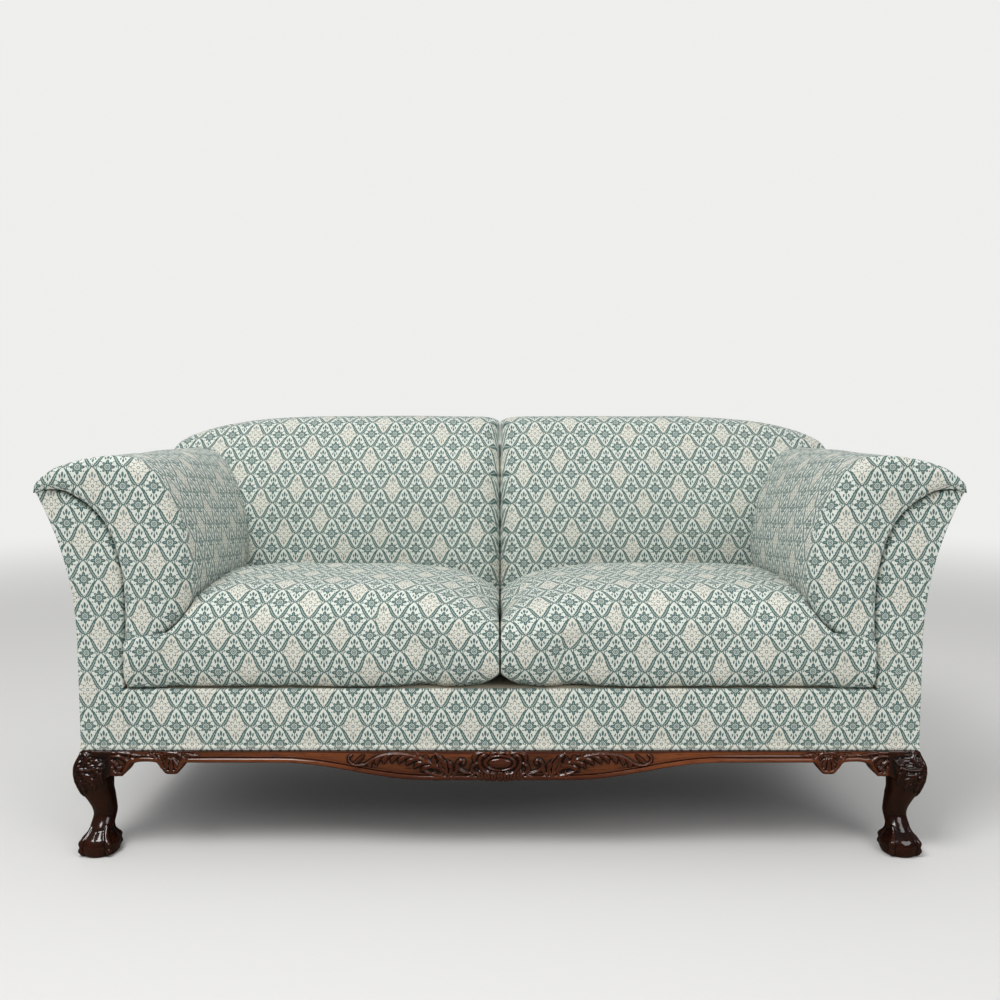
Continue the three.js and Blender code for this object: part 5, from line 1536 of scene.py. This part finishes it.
# The folded hem's print is made paler, with a brighter ground and paler leaves: a painted highlight along the
# fold.
HEM = printed_cloth("folded_hem", PATTERN, WEAVE, (0.24, 0.28, 0.24), 1.04)
CALICO = plain_cloth("calico", WEAVE, (0.66, 0.6, 0.48), (0.5, 0.44, 0.33), 0.8)
JUTE = plain_cloth("jute", WEAVE, (0.42, 0.31, 0.17), (0.24, 0.16, 0.08), 3.0)
BLACK = plain_cloth("dust_cloth", WEAVE, (0.03, 0.03, 0.032), (0.012, 0.012, 0.013), 0.7)
MAHOGANY_ALONG = timber("mahogany_rail", GRAIN, (0.12, 1.0, 1.0), (0.006, 0.0015, 0.0008),
                        (0.24, 0.068, 0.022), (0.05, 0.013, 0.008), 1.0)
MAHOGANY_UP = timber("mahogany_leg", GRAIN, (1.0, 1.0, 0.2), (0.002, 0.0006, 0.0004), (0.046, 0.011, 0.004),
                     (0.032, 0.008, 0.004), 1.0)
STAINED = timber("stained_beech", GRAIN, (1.0, 1.0, 0.15), (0.03, 0.013, 0.008), (0.09, 0.036, 0.02),
                 (0.17, 0.08, 0.045))
BEECH = timber("beech", GRAIN, (0.2, 1.0, 1.0), (0.4, 0.25, 0.14), (0.55, 0.38, 0.23), (0.6, 0.44, 0.28))
WIRE = spring_wire()

FORWARDS = straight(0, -1, 0)
for side, flip in (("left", True), ("right", False)):
    seed = 11 if flip else 23
    pad = arm_pad(f"stuffed_arm_{side}", seed, flip)
    pad = add(pad, "frame", "upholstery", UPHOLSTERY, f"arm_pad_{side}")
    pad = back_pad(f"tight_back_{side}", seed + 1, flip)
    pad = add(pad, "frame", "upholstery", UPHOLSTERY, f"back_pad_{side}")
    seat = cushion(f"loose_cushion_{side}", seed + 2, flip)
    seat = add(seat, f"{side}_seat_cushion", "cushion_cover", UPHOLSTERY, f"seat_cushion_{side}")
    cover = slab(f"arm_front_cover_{side}", facing_panels(flip), FORWARDS, 13.7, facing_edge, 2.0, 40)
    cover = add(cover, "frame", "upholstery", UPHOLSTERY, f"arm_facing_{side}")
    cover = slab(f"outer_arm_cover_{side}", outside_arm_panels(flip), arm_normal(flip), 6, 3, 1.0)
    cover = add(cover, "frame", "upholstery", UPHOLSTERY, f"outside_arm_{side}")
    cover = slab(f"arm_lining_cloth_{side}", lining_panels(flip), straight(1 if flip else -1, 0, 0), 3, 1)
    cover = add(cover, "frame", "calico", CALICO, f"arm_lining_{side}")

half = SEAM_FOOT - 0.6
grid = upright(crowded(220, 5, 0.004), crowded(24, 5, 0.05), (-half, half), (COVER_BOTTOM, SEAT_BASE - 0.6),
               COVER_FRONT)
border = slab("front_border", [grid], FORWARDS, 13.8, border_edge, 4, 45)
border = add(border, "frame", "upholstery", UPHOLSTERY, "seat_border")
grid = upright(np.linspace(0, 1, 330), np.linspace(0, 1, 8), (-BODY_HALF, BODY_HALF), (COVER_BOTTOM, HEM_TOP),
               HEM_FRONT)
hem = add(slab("folded_hem", [grid], FORWARDS, 1.5, 0.7), "frame", "hem_band", HEM, "front_gimp")
half = SEAM_FOOT - 0.9
grid = level((-half, half), (FRAME_FRONT, FRAME_REAR - 20), SEAT_BASE - 0.3)
deck = slab("sprung_deck", [grid], straight(0, 0, 1), 26.6, 12)
deck = add(deck, "frame", "calico", CALICO, "seat_deck")
outer_back = slab("outer_back_cover", outside_back_panels(), straight(0, 1, 0), 5, 2.5, 1.0)
outer_back = add(outer_back, "frame", "upholstery", UPHOLSTERY, "outside_back")
dust = slab("dust_cover", bottom_panels(), straight(0, 0, -1), 1.2, 0.4)
dust = add(dust, "frame", "black_cloth", BLACK, "bottom_cloth")

add(rail_mesh(), "frame", "mahogany", MAHOGANY_ALONG, "front_rail")
for side, flip in (("left", True), ("right", False)):
    add(front_leg(f"claw_foot_leg_{side}", flip), "frame", "mahogany", MAHOGANY_UP, f"front_leg_{side}")

FINISHES = {"mahogany": MAHOGANY_UP, "stained_beech": STAINED, "beech": BEECH, "jute_webbing": JUTE,
            "spring_wire": WIRE, "calico": CALICO, "black_cloth": BLACK}
for row in frame["record"]["subparts"]:
    node = frame["nodes"][row["node"]]
    finish = FINISHES.get(row["material_slot"])
    if finish:
        node.data.materials.clear()
        node.data.materials.append(finish)
